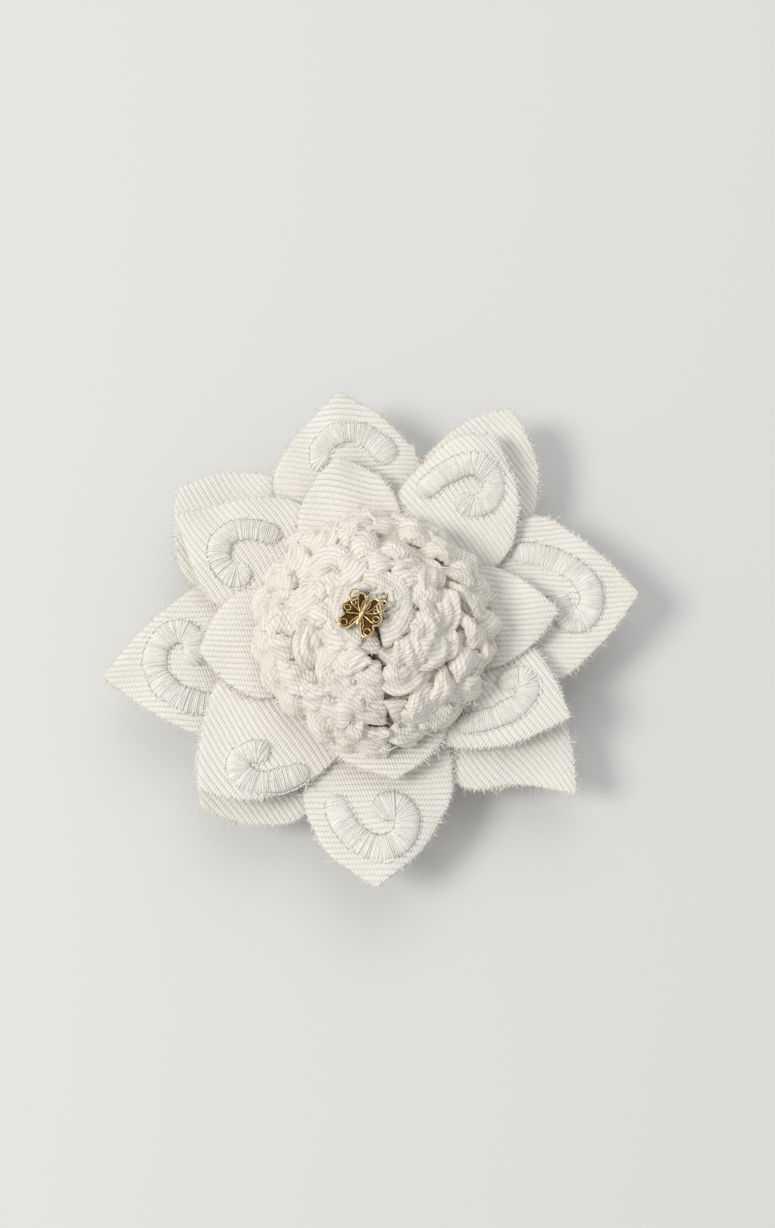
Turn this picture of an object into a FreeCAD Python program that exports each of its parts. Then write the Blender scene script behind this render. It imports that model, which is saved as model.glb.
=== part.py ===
"""Flower hair clip: four cut-cloth petal layers, a plaited rosette and a charm on a sprung clip.

The flower faces +Z. The origin is under the middle of the flower, on the plane the clip rests on.
+X points along the clip from its jaw tip to its finger tabs. Lengths are in millimetres.
"""
import FreeCAD, Part
import math
import os
import re
import Sketcher

doc = FreeCAD.newDocument("FlowerHairClip")
sheet = doc.addObject("Spreadsheet::Sheet", "Sheet")

# Every driving dimension, in the order the flower is stacked from the clip upward.
SIZES = {
    "gauge": 0.8,                # sheet steel of the clip
    "plate_long": 58.0,
    "plate_wide": 9.0,
    "plate_under": 8.2,
    "plate_corner": 3.0,
    "hinge_x": 8.0,
    "hinge_z": 5.6,
    "pin_radius": 0.8,
    "pin_head_radius": 1.35,
    "pin_head_thick": 0.4,
    "pin_running_gap": 0.06,
    "ear_radius": 2.0,
    "flange_radius": 1.8,
    "flange_thick": 0.6,
    "arm_wide": 6.6,
    "arm_tail_x": 29.0,
    "arm_tail_flat": 3.0,
    "arm_saddle_x": 10.5,
    "arm_saddle_long": 7.0,
    "arm_saddle_z": 2.2,
    "arm_belly_x": -8.5,
    "arm_belly_long": 6.5,
    "arm_tip_x": -27.5,
    "arm_tip_z": 7.0,
    "tooth_pitch": 1.4,
    "tooth_high": 0.5,
    "wire": 0.7,
    "coil_radius": 1.5,
    "coil_long": 3.6,
    "coil_pitch": 0.8,
    "leg_long": 10.0,
    "upper_leg_spread": 0.6,
    "lower_leg_spread": 1.3,
    "keeper_thick": 0.6,
    "keeper_wing": 3.4,
    "front_keeper_x": -14.0,
    "front_keeper_wide": 8.0,
    "rear_keeper_x": 20.5,
    "rear_keeper_wide": 4.0,
    "stitch_radius": 0.2,
    "stitch_long": 1.6,
    "felt_radius": 24.0,
    "felt_thick": 1.5,
    "cloth": 0.9,                # thickness of the twill
    "petal_rounding": 3.0,
    "layer_gap": 0.1,            # air left between two loose layers
    "scroll_wide": 4.4,
    "scroll_high": 1.1,
    "scroll_eye": 2.6,
    "rosette_x": 0.5,
    "rosette_y": -1.5,
    "rosette_disc": 20.0,
    "plait": 6.0,                # half the width of the plait
    "outer_round": 20.0,         # radius of the coil's outer round
    "inner_round": 9.0,
    "round_gap": 0.1,
    "end_wrap_angle": 24.0,
    "end_wrap_from": -108.0,
    "core_radius": 7.0,
    "bud_radius": 2.8,
    "glue_radius": 1.8,
    "glue_high": 1.0,
    "charm_x": -1.6,
    "charm_y": -3.5,
    "charm_turn": -25.0,
    "charm_thick": 1.0,
    "fore_wing": 2.1,
    "hind_wing": 1.7,
    "wing_gap": 0.12,
    "charm_body": 3.2,
}

TOOTH_COUNT = 4
STITCHES_ACROSS = 4

# How far each scroll's bow and its tighter return turn, in degrees.
BOW_TURN = 200
RETURN_TURN = 140

# Cut shape of each layer: half width at the shoulder, half width at the root.
LAYER_CUTS = {
    "base": (16.0, 13.0),
    "outer": (16.0, 13.0),
    "middle": (15.0, 12.0),
    "collar": (10.0, 9.0),
}

# Length and direction (degrees from +X) of every petal.
PETALS = {
    "base": ((56.7, 61.0), (51.2, 142.6), (49.0, 227.5), (52.7, 320.0)),
    "outer": ((55.5, 8.0), (52.8, 97.7), (54.8, 188.8), (51.9, 271.0)),
    "middle": ((47.2, 54.8), (46.5, 150.0), (47.4, 225.4), (43.7, 334.8)),
    "collar": ((37.9, 4.0), (36.2, 100.7), (34.6, 190.0), (31.9, 279.0)),
}

# Embroidered scrolls: where the bow starts, the way the stem points, the side it curls to,
# the radius of the bow and the length of the stem.
SCROLLS = {
    "outer_scroll_right": (39.5, 16.0, 0.0, -1, 7.8, 9.5),
    "outer_scroll_back": (1.1, 40.6, 120.0, 1, 6.5, 3.0),
    "outer_scroll_left": (-37.5, -14.7, 176.0, -1, 7.2, 9.0),
    "outer_scroll_front": (-6.3, -38.0, 270.0, 1, 7.3, 4.0),
    "middle_scroll_back_right": (17.7, 34.6, 35.0, -1, 6.2, 9.5),
    "middle_scroll_back_left": (-27.5, 21.5, 180.0, 1, 5.7, 9.0),
    "middle_scroll_front_left": (-20.7, -33.3, 195.0, -1, 5.0, 10.5),
    "middle_scroll_front_right": (30.0, -20.3, 20.0, 1, 5.0, 10.5),
}

# Lengths and heights worked out from the sizes above.
FORMULAS = {
    "jaw_run": "arm_belly_x - arm_belly_long - arm_tip_x",
    "jaw_rise": "arm_tip_z - gauge / 2",
    "jaw_long": "sqrt(jaw_run^2 + jaw_rise^2)",
    "keeper_inside": "plate_wide / 2 + 0.05",
    "keeper_outside": "keeper_inside + keeper_thick",
    "keeper_edge": "keeper_outside + keeper_wing",
    "stitch_y": "keeper_outside + keeper_wing / 2 - stitch_long / 2",
    "stitch_z": "plate_top - keeper_thick - stitch_radius",
    "plate_top": "plate_under + gauge",
    "felt_top": "plate_top + felt_thick",
    "base_floor": "felt_top",
    "outer_floor": "base_floor + cloth + layer_gap",
    "outer_scroll_floor": "outer_floor + cloth",
    "middle_floor": "outer_scroll_floor + scroll_high + layer_gap",
    "middle_scroll_floor": "middle_floor + cloth",
    "collar_floor": "middle_scroll_floor",
    "disc_floor": "collar_floor + cloth",
    "outer_round_z": "disc_floor + cloth + layer_gap + plait",
    "round_step": "sqrt((2 * plait + round_gap)^2 - (outer_round - inner_round)^2)",
    "inner_round_z": "outer_round_z + round_step",
    "rosette_top": "inner_round_z + plait",
    "bud_top": "rosette_top - 1",
    "charm_floor": "bud_top + glue_high + 0.1",
}


def plain_sizes():
    """Every driving dimension under its alias."""
    sizes = dict(SIZES)
    for layer, petals in PETALS.items():
        half_width, half_root = LAYER_CUTS[layer]
        sizes[layer + "_half_width"] = half_width
        sizes[layer + "_half_root"] = half_root
        for number, (length, turn) in enumerate(petals, 1):
            sizes[f"{layer}_petal_{number}_long"] = length
            sizes[f"{layer}_petal_{number}_turn"] = turn
    for name, (start_x, start_y, heading, side, radius, stem) in SCROLLS.items():
        sizes[name + "_x"] = start_x
        sizes[name + "_y"] = start_y
        sizes[name + "_heading"] = heading
        sizes[name + "_side"] = side
        sizes[name + "_bow"] = radius
        sizes[name + "_stem"] = stem
    return sizes


def fill_sheet():
    """Write every dimension as text, with its alias, one to a row, and return the aliases."""
    cells = {alias: str(value) for alias, value in plain_sizes().items()}
    cells.update({alias: "=" + formula for alias, formula in FORMULAS.items()})
    for row, (alias, content) in enumerate(cells.items(), 1):
        sheet.set(f"A{row}", alias)
        sheet.set(f"B{row}", content)
        sheet.setAlias(f"B{row}", alias)
    doc.recompute()
    return {alias: "Sheet." + alias for alias in cells}


def bound(text):
    """Turn a formula in sheet aliases into one that any object can use."""
    return re.sub(r"[a-z]\w*", lambda word: SHEET_NAMES.get(word[0], word[0]), text)


def value_of(text):
    """The present value of a formula in sheet aliases, as a plain number."""
    return float(sheet.evalExpression(bound(text)))


def new_body(name):
    body = doc.addObject("PartDesign::Body", name)
    body.Label = name
    return body


def origin_plane(body, role):
    return next(plane for plane in body.Origin.OriginFeatures if plane.Role == role)


def new_sketch(body, name, role, offset=None, turn=None):
    """A sketch on one of the body's own origin planes, raised and turned by sheet formulas."""
    sketch = body.newObject("Sketcher::SketchObject", name)
    sketch.AttachmentSupport = [(origin_plane(body, role), "")]
    sketch.MapMode = "FlatFace"
    if offset:
        sketch.setExpression("AttachmentOffset.Base.z", bound(offset))
    if turn:
        sketch.AttachmentOffset = FreeCAD.Placement(
            FreeCAD.Vector(), FreeCAD.Rotation(FreeCAD.Vector(0, 0, 1), 0))
        sketch.setExpression("AttachmentOffset.Rotation.Angle", bound(turn))
    return sketch


def tie(sketch, edge, point, kind, text):
    """Hold one coordinate of an edge's end at the value of a formula."""
    value = value_of(text)
    if abs(value) < 1e-9:
        axis = -2 if kind == "DistanceX" else -1
        sketch.addConstraint(Sketcher.Constraint("PointOnObject", edge, point, axis))
        return
    index = sketch.addConstraint(Sketcher.Constraint(kind, -1, 1, edge, point, value))
    sketch.setExpression(f"Constraints[{index}]", bound(text))


def polygon(sketch, corners):
    """A closed outline of straight edges whose corners are pairs of formulas."""
    places = [FreeCAD.Vector(value_of(x), value_of(y), 0) for x, y in corners]
    count = len(corners)
    edges = []
    for index in range(count):
        line = Part.LineSegment(places[index], places[(index + 1) % count])
        edges.append(sketch.addGeometry(line))
    for index in range(count):
        following = edges[(index + 1) % count]
        sketch.addConstraint(Sketcher.Constraint("Coincident", edges[index], 2, following, 1))
    for edge, (x, y) in zip(edges, corners):
        tie(sketch, edge, 1, "DistanceX", x)
        tie(sketch, edge, 1, "DistanceY", y)
    return edges


def circle(sketch, x, y, radius):
    """A circle whose centre and radius are formulas."""
    centre = FreeCAD.Vector(value_of(x), value_of(y), 0)
    edge = sketch.addGeometry(Part.Circle(centre, FreeCAD.Vector(0, 0, 1), value_of(radius)))
    tie(sketch, edge, 3, "DistanceX", x)
    tie(sketch, edge, 3, "DistanceY", y)
    index = sketch.addConstraint(Sketcher.Constraint("Radius", edge, value_of(radius)))
    sketch.setExpression(f"Constraints[{index}]", bound(radius))
    return edge


def feature(body, kind, sketch, name, **settings):
    """A Pad, Pocket or the like on a sketch; text settings are bound as formulas."""
    made = body.newObject("PartDesign::" + kind, name)
    made.Profile = sketch
    for setting, value in settings.items():
        if isinstance(value, str) and setting in ("Length", "Length2"):
            made.setExpression(setting, bound(value))
        else:
            setattr(made, setting, value)
    return made


def rounded(body, name, base, edges, radius):
    """Fillet the named edges of a feature."""
    fillet = body.newObject("PartDesign::Fillet", name)
    fillet.Base = (base, edges)
    fillet.setExpression("Radius", bound(radius))
    return fillet


def upright_edges(shape, keep):
    """Names of the straight edges along Z whose middle passes the test."""
    names = []
    for number, edge in enumerate(shape.Edges, 1):
        if len(edge.Vertexes) != 2:
            continue
        start, end = (vertex.Point for vertex in edge.Vertexes)
        along = end - start
        level = math.hypot(along.x, along.y) < 1e-6
        if level and keep((start + end) * 0.5):
            names.append(f"Edge{number}")
    return names


def place(target, x="0", y="0", z="0"):
    """Stand an object at a point given by three formulas."""
    target.setExpression("Placement.Base.x", bound(x))
    target.setExpression("Placement.Base.y", bound(y))
    target.setExpression("Placement.Base.z", bound(z))


def primitive(kind, name, x="0", y="0", z="0", **sizes):
    """A Part primitive whose sizes and place are formulas."""
    made = doc.addObject("Part::" + kind, name)
    made.Label = name
    for size, text in sizes.items():
        made.setExpression(size, bound(text))
    place(made, x, y, z)
    return made


def upper_arm():
    """The clip's flat plate with two ears that carry the hinge pin."""
    body = new_body("clip_upper_arm")
    outline = new_sketch(body, "plate_outline", "XY_Plane", offset="plate_under")
    ends = ("-plate_long / 2", "plate_long / 2")
    sides = ("-plate_wide / 2", "plate_wide / 2")
    corners = [(ends[0], sides[0]), (ends[1], sides[0]), (ends[1], sides[1]), (ends[0], sides[1])]
    polygon(outline, corners)
    plate = feature(body, "Pad", outline, "plate", Length="gauge")
    doc.recompute()
    edges = upright_edges(plate.Shape, lambda middle: True)
    rounded(body, "plate_corners", plate, edges, "plate_corner")
    ears = []
    for side, name in ((1, "near"), (-1, "far")):
        ear_outline = new_sketch(body, f"{name}_ear_outline", "XZ_Plane",
                                 offset=f"{side} * plate_wide / 2")
        polygon(ear_outline, [
            ("hinge_x - 2 * ear_radius", "plate_under"),
            ("hinge_x - 0.6 * ear_radius", "hinge_z - 0.8 * ear_radius"),
            ("hinge_x + 0.6 * ear_radius", "hinge_z - 0.8 * ear_radius"),
            ("hinge_x + 2 * ear_radius", "plate_under"),
        ])
        ears.append(feature(body, "Pad", ear_outline, f"{name}_ear", Length="gauge",
                            Reversed=side > 0))
        hole = new_sketch(body, f"{name}_pin_hole", "XZ_Plane", offset=f"{side} * plate_wide / 2")
        circle(hole, "hinge_x", "hinge_z", "pin_radius + 0.02")
        feature(body, "Pocket", hole, f"{name}_pin_bore", Length="2 * gauge", Reversed=side < 0)
    return body


def jaw_point(along, above):
    """A point a given way back from the jaw tip and above the strip's middle line."""
    x = f"arm_tip_x + ({along} * jaw_run + ({above}) * jaw_rise) / jaw_long"
    z = f"arm_tip_z + (({above}) * jaw_run - {along} * jaw_rise) / jaw_long"
    return x, z


def arm_route():
    """Corners of the lower arm's middle line, from the finger tab to the jaw tip."""
    return [
        ("arm_tail_x", "gauge / 2"),
        ("arm_tail_x - arm_tail_flat", "gauge / 2"),
        ("arm_saddle_x", "arm_saddle_z + gauge / 2"),
        ("arm_saddle_x - arm_saddle_long", "arm_saddle_z + gauge / 2"),
        ("arm_belly_x", "gauge / 2"),
        ("arm_belly_x - arm_belly_long", "gauge / 2"),
        ("arm_tip_x", "arm_tip_z"),
    ]


def lower_arm():
    """The sprung jaw: one bent strip with a flange each side of the coil and teeth at its tip."""
    body = new_body("clip_lower_arm")
    route = new_sketch(body, "arm_path", "XZ_Plane")
    corners = arm_route()
    places = [FreeCAD.Vector(value_of(x), value_of(y), 0) for x, y in corners]
    edges = [route.addGeometry(Part.LineSegment(a, b)) for a, b in zip(places, places[1:])]
    for before, after in zip(edges, edges[1:]):
        route.addConstraint(Sketcher.Constraint("Coincident", before, 2, after, 1))
    for edge, (x, y) in zip(edges, corners):
        tie(route, edge, 1, "DistanceX", x)
        tie(route, edge, 1, "DistanceY", y)
    tie(route, edges[-1], 2, "DistanceX", corners[-1][0])
    tie(route, edges[-1], 2, "DistanceY", corners[-1][1])
    section = new_sketch(body, "arm_section", "YZ_Plane", offset="arm_tail_x")
    polygon(section, [("-arm_wide / 2", "0"), ("arm_wide / 2", "0"),
                      ("arm_wide / 2", "gauge"), ("-arm_wide / 2", "gauge")])
    feature(body, "AdditivePipe", section, "strip", Spine=(route, []),
                    Transition="Round corner")
    for side in (1, -1):
        name = "near" if side > 0 else "far"
        flange = new_sketch(body, f"{name}_flange_outline", "XZ_Plane",
                            offset=f"{side} * arm_wide / 2")
        polygon(flange, [
            ("arm_saddle_x - arm_saddle_long", "arm_saddle_z + gauge / 2"),
            ("arm_saddle_x", "arm_saddle_z + gauge / 2"),
            ("hinge_x + 0.7 * flange_radius", "hinge_z + 0.7 * flange_radius"),
            ("hinge_x - 0.7 * flange_radius", "hinge_z + 0.7 * flange_radius"),
        ])
        feature(body, "Pad", flange, f"{name}_flange", Length="flange_thick", Reversed=side > 0)
        hole = new_sketch(body, f"{name}_flange_hole", "XZ_Plane", offset=f"{side} * arm_wide / 2")
        circle(hole, "hinge_x", "hinge_z", "pin_radius + pin_running_gap")
        feature(body, "Pocket", hole, f"{name}_flange_bore", Length="2 * flange_thick",
                Reversed=side < 0)
    teeth = new_sketch(body, "teeth_outline", "XZ_Plane", offset="arm_wide / 2")
    corners = [jaw_point("0", "0")]
    for number in range(TOOTH_COUNT):
        corners.append(jaw_point(f"{number} * tooth_pitch", "gauge / 2 + tooth_high"))
        corners.append(jaw_point(f"{number + 1} * tooth_pitch", "gauge / 2"))
    corners.append(jaw_point(f"{TOOTH_COUNT} * tooth_pitch", "0"))
    polygon(teeth, corners)
    feature(body, "Pad", teeth, "teeth", Length="arm_wide", Reversed=True)
    return body


def hinge_pin():
    """The rivet through both arms, with a flat head at each end."""
    body = new_body("clip_hinge_pin")
    half = "(plate_wide / 2 + pin_head_thick)"
    turned = (
        ("shank", "pin_radius", half, "2 * " + half),
        ("near_head", "pin_head_radius", half, "pin_head_thick"),
        ("far_head", "pin_head_radius", "-plate_wide / 2", "pin_head_thick"),
    )
    for name, radius, start, length in turned:
        outline = new_sketch(body, name + "_outline", "XZ_Plane", offset=start)
        circle(outline, "hinge_x", "hinge_z", radius)
        feature(body, "Pad", outline, name, Length=length, Reversed=True)
    return body


def spring():
    """The torsion coil round the pin, with one leg along each finger tab."""
    line = doc.addObject("Part::Helix", "coil_line")
    line.setExpression("Radius", bound("coil_radius"))
    line.setExpression("Height", bound("coil_long"))
    line.setExpression("Pitch", bound("coil_pitch"))
    section = doc.addObject("Part::Circle", "coil_section")
    section.setExpression("Radius", bound("wire / 2"))
    section.Placement = FreeCAD.Placement(
        FreeCAD.Vector(), FreeCAD.Rotation(FreeCAD.Vector(1, 0, 0), 90))
    section.setExpression("Placement.Base.x", bound("coil_radius"))
    coil = doc.addObject("Part::Sweep", "coil")
    coil.Sections = [section]
    coil.Spine = (line, [])
    coil.Solid = True
    coil.Frenet = True
    legs = []
    for name, side, spread, height in (("upper_leg", "coil_radius", "upper_leg_spread", "0"),
                                       ("lower_leg", "-coil_radius", "-lower_leg_spread",
                                        "coil_long")):
        way = FreeCAD.Vector(value_of(spread), -value_of("leg_long"), 0)
        leg = doc.addObject("Part::Cylinder", name)
        leg.setExpression("Radius", bound("wire / 2"))
        leg.setExpression("Height", bound("leg_long"))
        leg.Placement = FreeCAD.Placement(
            FreeCAD.Vector(), FreeCAD.Rotation(FreeCAD.Vector(0, 0, 1), way))
        place(leg, side, "0", height)
        legs.append(leg)
    joined = doc.addObject("Part::MultiFuse", "clip_spring")
    joined.Label = "clip_spring"
    joined.Shapes = [coil] + legs
    across = FreeCAD.Rotation(FreeCAD.Vector(0, 0, 1), FreeCAD.Vector(-1, 0, 0),
                              FreeCAD.Vector(0, -1, 0), "XYZ")
    joined.Placement = FreeCAD.Placement(FreeCAD.Vector(), across)
    place(joined, "hinge_x", "coil_long / 2", "hinge_z")
    return joined


def felt():
    """The round of felt that the petals and the clip are sewn to."""
    return primitive("Cylinder", "felt_backing", z="plate_top", Radius="felt_radius",
                     Height="felt_thick")


def keeper(name):
    """A strip of cloth that holds the clip's plate up against the felt."""
    body = new_body("clip_" + name)
    outline = new_sketch(body, name + "_outline", "YZ_Plane", offset=f"{name}_x - {name}_wide / 2")
    under = "plate_under - keeper_thick"
    wing = "plate_top - keeper_thick"
    polygon(outline, [
        ("-keeper_edge", "plate_top"), ("-keeper_edge", wing),
        ("-keeper_outside", wing), ("-keeper_outside", under),
        ("keeper_outside", under), ("keeper_outside", wing),
        ("keeper_edge", wing), ("keeper_edge", "plate_top"),
        ("keeper_inside", "plate_top"), ("keeper_inside", "plate_under"),
        ("-keeper_inside", "plate_under"), ("-keeper_inside", "plate_top"),
    ])
    feature(body, "Pad", outline, name + "_strip", Length=name + "_wide")
    return body


def stitches():
    """Bars of sewing thread across the wings of both keepers."""
    bars = []
    for name in ("front_keeper", "rear_keeper"):
        for number in range(STITCHES_ACROSS):
            share = (number + 0.5) / STITCHES_ACROSS - 0.5
            for side, end in ((1, "stitch_y"), (-1, "-stitch_y - stitch_long")):
                bar = doc.addObject("Part::Cylinder", f"{name}_stitch")
                bar.setExpression("Radius", bound("stitch_radius"))
                bar.setExpression("Height", bound("stitch_long"))
                bar.Placement = FreeCAD.Placement(
                    FreeCAD.Vector(), FreeCAD.Rotation(FreeCAD.Vector(1, 0, 0), -90))
                place(bar, f"{name}_x + {share} * {name}_wide", end, "stitch_z")
                bars.append(bar)
    joined = doc.addObject("Part::MultiFuse", "keeper_stitches")
    joined.Label = "keeper_stitches"
    joined.Shapes = bars
    return joined


def petal_layer(layer):
    """One piece of twill cut as four pointed petals that cross at its middle."""
    body = new_body(layer + "_petals")
    width = f"{layer}_half_width"
    root = f"{layer}_half_root"
    for number in range(1, len(PETALS[layer]) + 1):
        name = f"{layer}_petal_{number}"
        outline = new_sketch(body, name + "_outline", "XY_Plane", offset=layer + "_floor",
                             turn=name + "_turn")
        shoulder = f"{name}_long - {width}"
        polygon(outline, [
            ("-layer_gap", f"-{root}"), (shoulder, f"-{width}"),
            (f"{name}_long", "0"), (shoulder, width), ("-layer_gap", root),
        ])
        last = feature(body, "Pad", outline, name, Length="cloth")
    doc.recompute()
    reach = min(length for length, turn in PETALS[layer])
    edges = upright_edges(last.Shape, lambda middle: math.hypot(middle.x, middle.y) < 0.95 * reach)
    rounded(body, layer + "_rounding", last, edges, "petal_rounding")
    return body


def scroll(name):
    """A raised embroidered band: a stem, a bow and a tighter return that ends in an eye."""
    side = SCROLLS[name][3]
    layer = name.split("_")[0]
    body = new_body(name)
    bow = value_of(name + "_bow")
    stem = value_of(name + "_stem")
    inner = bow / 2
    route = new_sketch(body, name + "_path", "XY_Plane")
    up = FreeCAD.Vector(0, 0, 1)
    line = route.addGeometry(Part.LineSegment(FreeCAD.Vector(-stem, 0, 0), FreeCAD.Vector()))
    first_turn = math.radians(BOW_TURN)
    second_turn = math.radians(RETURN_TURN)
    start = -side * math.pi / 2
    middle = start + side * first_turn
    end = middle + side * second_turn
    centre = FreeCAD.Vector(0, side * bow, 0)
    inner_centre = centre + FreeCAD.Vector(math.cos(middle), math.sin(middle), 0) * (bow - inner)
    arcs = []
    for point, radius, a, b in ((centre, bow, start, middle), (inner_centre, inner, middle, end)):
        ring = Part.Circle(point, up, radius)
        arcs.append(route.addGeometry(Part.ArcOfCircle(ring, min(a, b), max(a, b))))
    first, last = (1, 2) if side > 0 else (2, 1)
    route.addConstraint(Sketcher.Constraint("Tangent", line, 2, arcs[0], first))
    route.addConstraint(Sketcher.Constraint("Tangent", arcs[0], last, arcs[1], first))
    route.addConstraint(Sketcher.Constraint("Horizontal", line))
    route.addConstraint(Sketcher.Constraint("Coincident", line, 2, -1, 1))
    tie(route, line, 1, "DistanceX", f"-{name}_stem")
    for arc, text in ((arcs[0], name + "_bow"), (arcs[1], name + "_bow / 2")):
        index = route.addConstraint(Sketcher.Constraint("Radius", arc, value_of(text)))
        route.setExpression(f"Constraints[{index}]", bound(text))
    section = new_sketch(body, name + "_section", "YZ_Plane", offset=f"-{name}_stem")
    polygon(section, [
        ("-scroll_wide / 2", "0"), ("scroll_wide / 2", "0"),
        ("scroll_wide / 3", "scroll_high"), ("-scroll_wide / 3", "scroll_high"),
    ])
    feature(body, "AdditivePipe", section, name + "_band", Spine=(route, []))
    eye = new_sketch(body, name + "_eye_outline", "XY_Plane")
    ending = inner_centre + FreeCAD.Vector(math.cos(end), math.sin(end), 0) * inner
    edge = eye.addGeometry(Part.Circle(ending, up, value_of("scroll_eye")))
    index = eye.addConstraint(Sketcher.Constraint("Radius", edge, value_of("scroll_eye")))
    eye.setExpression(f"Constraints[{index}]", bound("scroll_eye"))
    feature(body, "Pad", eye, name + "_eye", Length="scroll_high")
    body.Placement = FreeCAD.Placement(
        FreeCAD.Vector(), FreeCAD.Rotation(up, value_of(name + "_heading")))
    body.setExpression("Placement.Rotation.Angle", bound(name + "_heading"))
    place(body, name + "_x", name + "_y", layer + "_scroll_floor")
    return body


def rosette():
    """The coiled plait on its disc: outer round, the end that wraps over it, inner round, core
    and the rolled bud in the middle."""
    at = {"x": "rosette_x", "y": "rosette_y"}
    disc = primitive("Cylinder", "rosette_disc", z="disc_floor", Radius="rosette_disc",
                     Height="cloth", **at)
    core = primitive("Cylinder", "rosette_core", z="disc_floor + cloth", Radius="core_radius",
                     Height="inner_round_z - plait - disc_floor - cloth - layer_gap", **at)
    outer = primitive("Torus", "rosette_outer_plait", z="outer_round_z", Radius1="outer_round",
                      Radius2="plait", Angle3="360 - end_wrap_angle - 0.4", **at)
    wrap = primitive("Torus", "rosette_end_wrap", z="outer_round_z", Radius1="outer_round",
                     Radius2="plait", Angle3="end_wrap_angle", **at)
    inner = primitive("Torus", "rosette_inner_plait", z="inner_round_z", Radius1="inner_round",
                      Radius2="plait", **at)
    up = FreeCAD.Vector(0, 0, 1)
    for ring, turn in ((wrap, "end_wrap_from"), (outer, "end_wrap_from + end_wrap_angle + 0.2")):
        ring.Placement = FreeCAD.Placement(
            ring.Placement.Base, FreeCAD.Rotation(up, value_of(turn)))
    bud = primitive("Cylinder", "rosette_bud", z="inner_round_z - plait", Radius="bud_radius",
                    Height="bud_top - inner_round_z + plait", **at)
    return [disc, core, outer, wrap, inner, bud]


def charm():
    """A small metal butterfly: two pairs of pierced wings on a plump body."""
    body = new_body("butterfly_charm")
    trunk_outline = new_sketch(body, "trunk_outline", "XZ_Plane", offset="-charm_body")
    circle(trunk_outline, "0", "0.9 * charm_thick", "0.7 * charm_thick")
    feature(body, "Pad", trunk_outline, "trunk", Length="2 * charm_body")
    wing_pieces = []
    for name, along, radius in (("fore_wing", "0.7 * fore_wing", "fore_wing"),
                                ("hind_wing", "-hind_wing", "hind_wing")):
        outline = new_sketch(body, name + "_outline", "XY_Plane")
        circle(outline, radius + " + wing_gap", along, radius)
        wing_pieces.append(feature(body, "Pad", outline, name + "_pad", Length="charm_thick"))
    opening = new_sketch(body, "wing_opening", "XY_Plane")
    circle(opening, "1.2 * hind_wing", "-1.1 * hind_wing", "hind_wing / 3")
    wing_pieces.append(feature(body, "Pocket", opening, "wing_hole", Length="charm_thick",
                               Reversed=True))
    mirror = body.newObject("PartDesign::Mirrored", "left_wings")
    mirror.Originals = wing_pieces
    mirror.MirrorPlane = (origin_plane(body, "YZ_Plane"), [""])
    body.Tip = mirror
    up = FreeCAD.Vector(0, 0, 1)
    body.Placement = FreeCAD.Placement(
        FreeCAD.Vector(), FreeCAD.Rotation(up, value_of("charm_turn")))
    body.setExpression("Placement.Rotation.Angle", bound("charm_turn"))
    place(body, "charm_x", "charm_y", "charm_floor")
    return body


def faults(parts):
    """Everything that failed to build."""
    bad = [thing.Name for thing in doc.Objects if {"Invalid", "Error"} & set(thing.State)]
    bad += [part.Label for part in parts if part.Shape.isNull() or not part.Shape.isValid()]
    return bad


SHEET_NAMES = fill_sheet()
parts = [upper_arm(), lower_arm(), hinge_pin(), spring(), felt()]
parts += [keeper("front_keeper"), keeper("rear_keeper"), stitches()]
parts += [petal_layer(layer) for layer in PETALS]
parts += [scroll(name) for name in SCROLLS]
parts += rosette()
parts.append(primitive("Cylinder", "charm_glue", "rosette_x", "rosette_y", "bud_top",
                       Radius="glue_radius", Height="glue_high"))
parts.append(charm())
doc.recompute()

failed = faults(parts)
if failed:
    raise SystemExit("failed to build: " + ", ".join(failed))
os.makedirs("parts", exist_ok=True)
for part in parts:
    part.Shape.exportStep(f"parts/{part.Label}.step")
    box = part.Shape.BoundBox
    print(f"{part.Label:26s} {part.Shape.Volume:9.2f} mm3  {len(part.Shape.Solids)} solid(s)  "
          f"z {box.ZMin:.2f} to {box.ZMax:.2f}")
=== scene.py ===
import math

import bpy
import numpy as np
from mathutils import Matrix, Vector
from mathutils.geometry import delaunay_2d_cdt
from mathutils.kdtree import KDTree


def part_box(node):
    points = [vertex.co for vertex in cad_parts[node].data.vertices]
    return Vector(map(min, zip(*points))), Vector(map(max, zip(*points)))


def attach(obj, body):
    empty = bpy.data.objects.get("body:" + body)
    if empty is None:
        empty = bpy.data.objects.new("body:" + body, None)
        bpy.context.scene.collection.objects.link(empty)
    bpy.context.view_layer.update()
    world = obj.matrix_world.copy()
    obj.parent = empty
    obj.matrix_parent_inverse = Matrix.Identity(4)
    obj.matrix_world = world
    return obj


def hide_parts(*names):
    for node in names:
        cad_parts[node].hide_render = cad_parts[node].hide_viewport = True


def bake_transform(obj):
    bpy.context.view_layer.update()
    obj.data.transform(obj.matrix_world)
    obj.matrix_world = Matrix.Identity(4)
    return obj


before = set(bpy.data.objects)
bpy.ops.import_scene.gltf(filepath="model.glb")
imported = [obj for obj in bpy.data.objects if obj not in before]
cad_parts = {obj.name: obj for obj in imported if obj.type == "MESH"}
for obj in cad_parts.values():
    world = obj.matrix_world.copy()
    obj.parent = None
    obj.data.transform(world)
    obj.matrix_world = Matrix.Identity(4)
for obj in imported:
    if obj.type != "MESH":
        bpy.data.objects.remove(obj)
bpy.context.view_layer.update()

# Lengths below are in millimetres until a mesh is made. X is right, Y is back, Z is up.
MM = 0.001
TURN = 2 * math.pi


def node_box(name):
    """A CAD node's lowest and highest corners, in millimetres."""
    low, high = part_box(name)
    return np.array(low) / MM, np.array(high) / MM


# ---------------------------------------------------------------- numbers and curves

def unit(vectors):
    """Vectors scaled to length one along their last axis."""
    length = np.linalg.norm(vectors, axis=-1, keepdims=True)
    return vectors / np.maximum(length, 1e-9)


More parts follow.
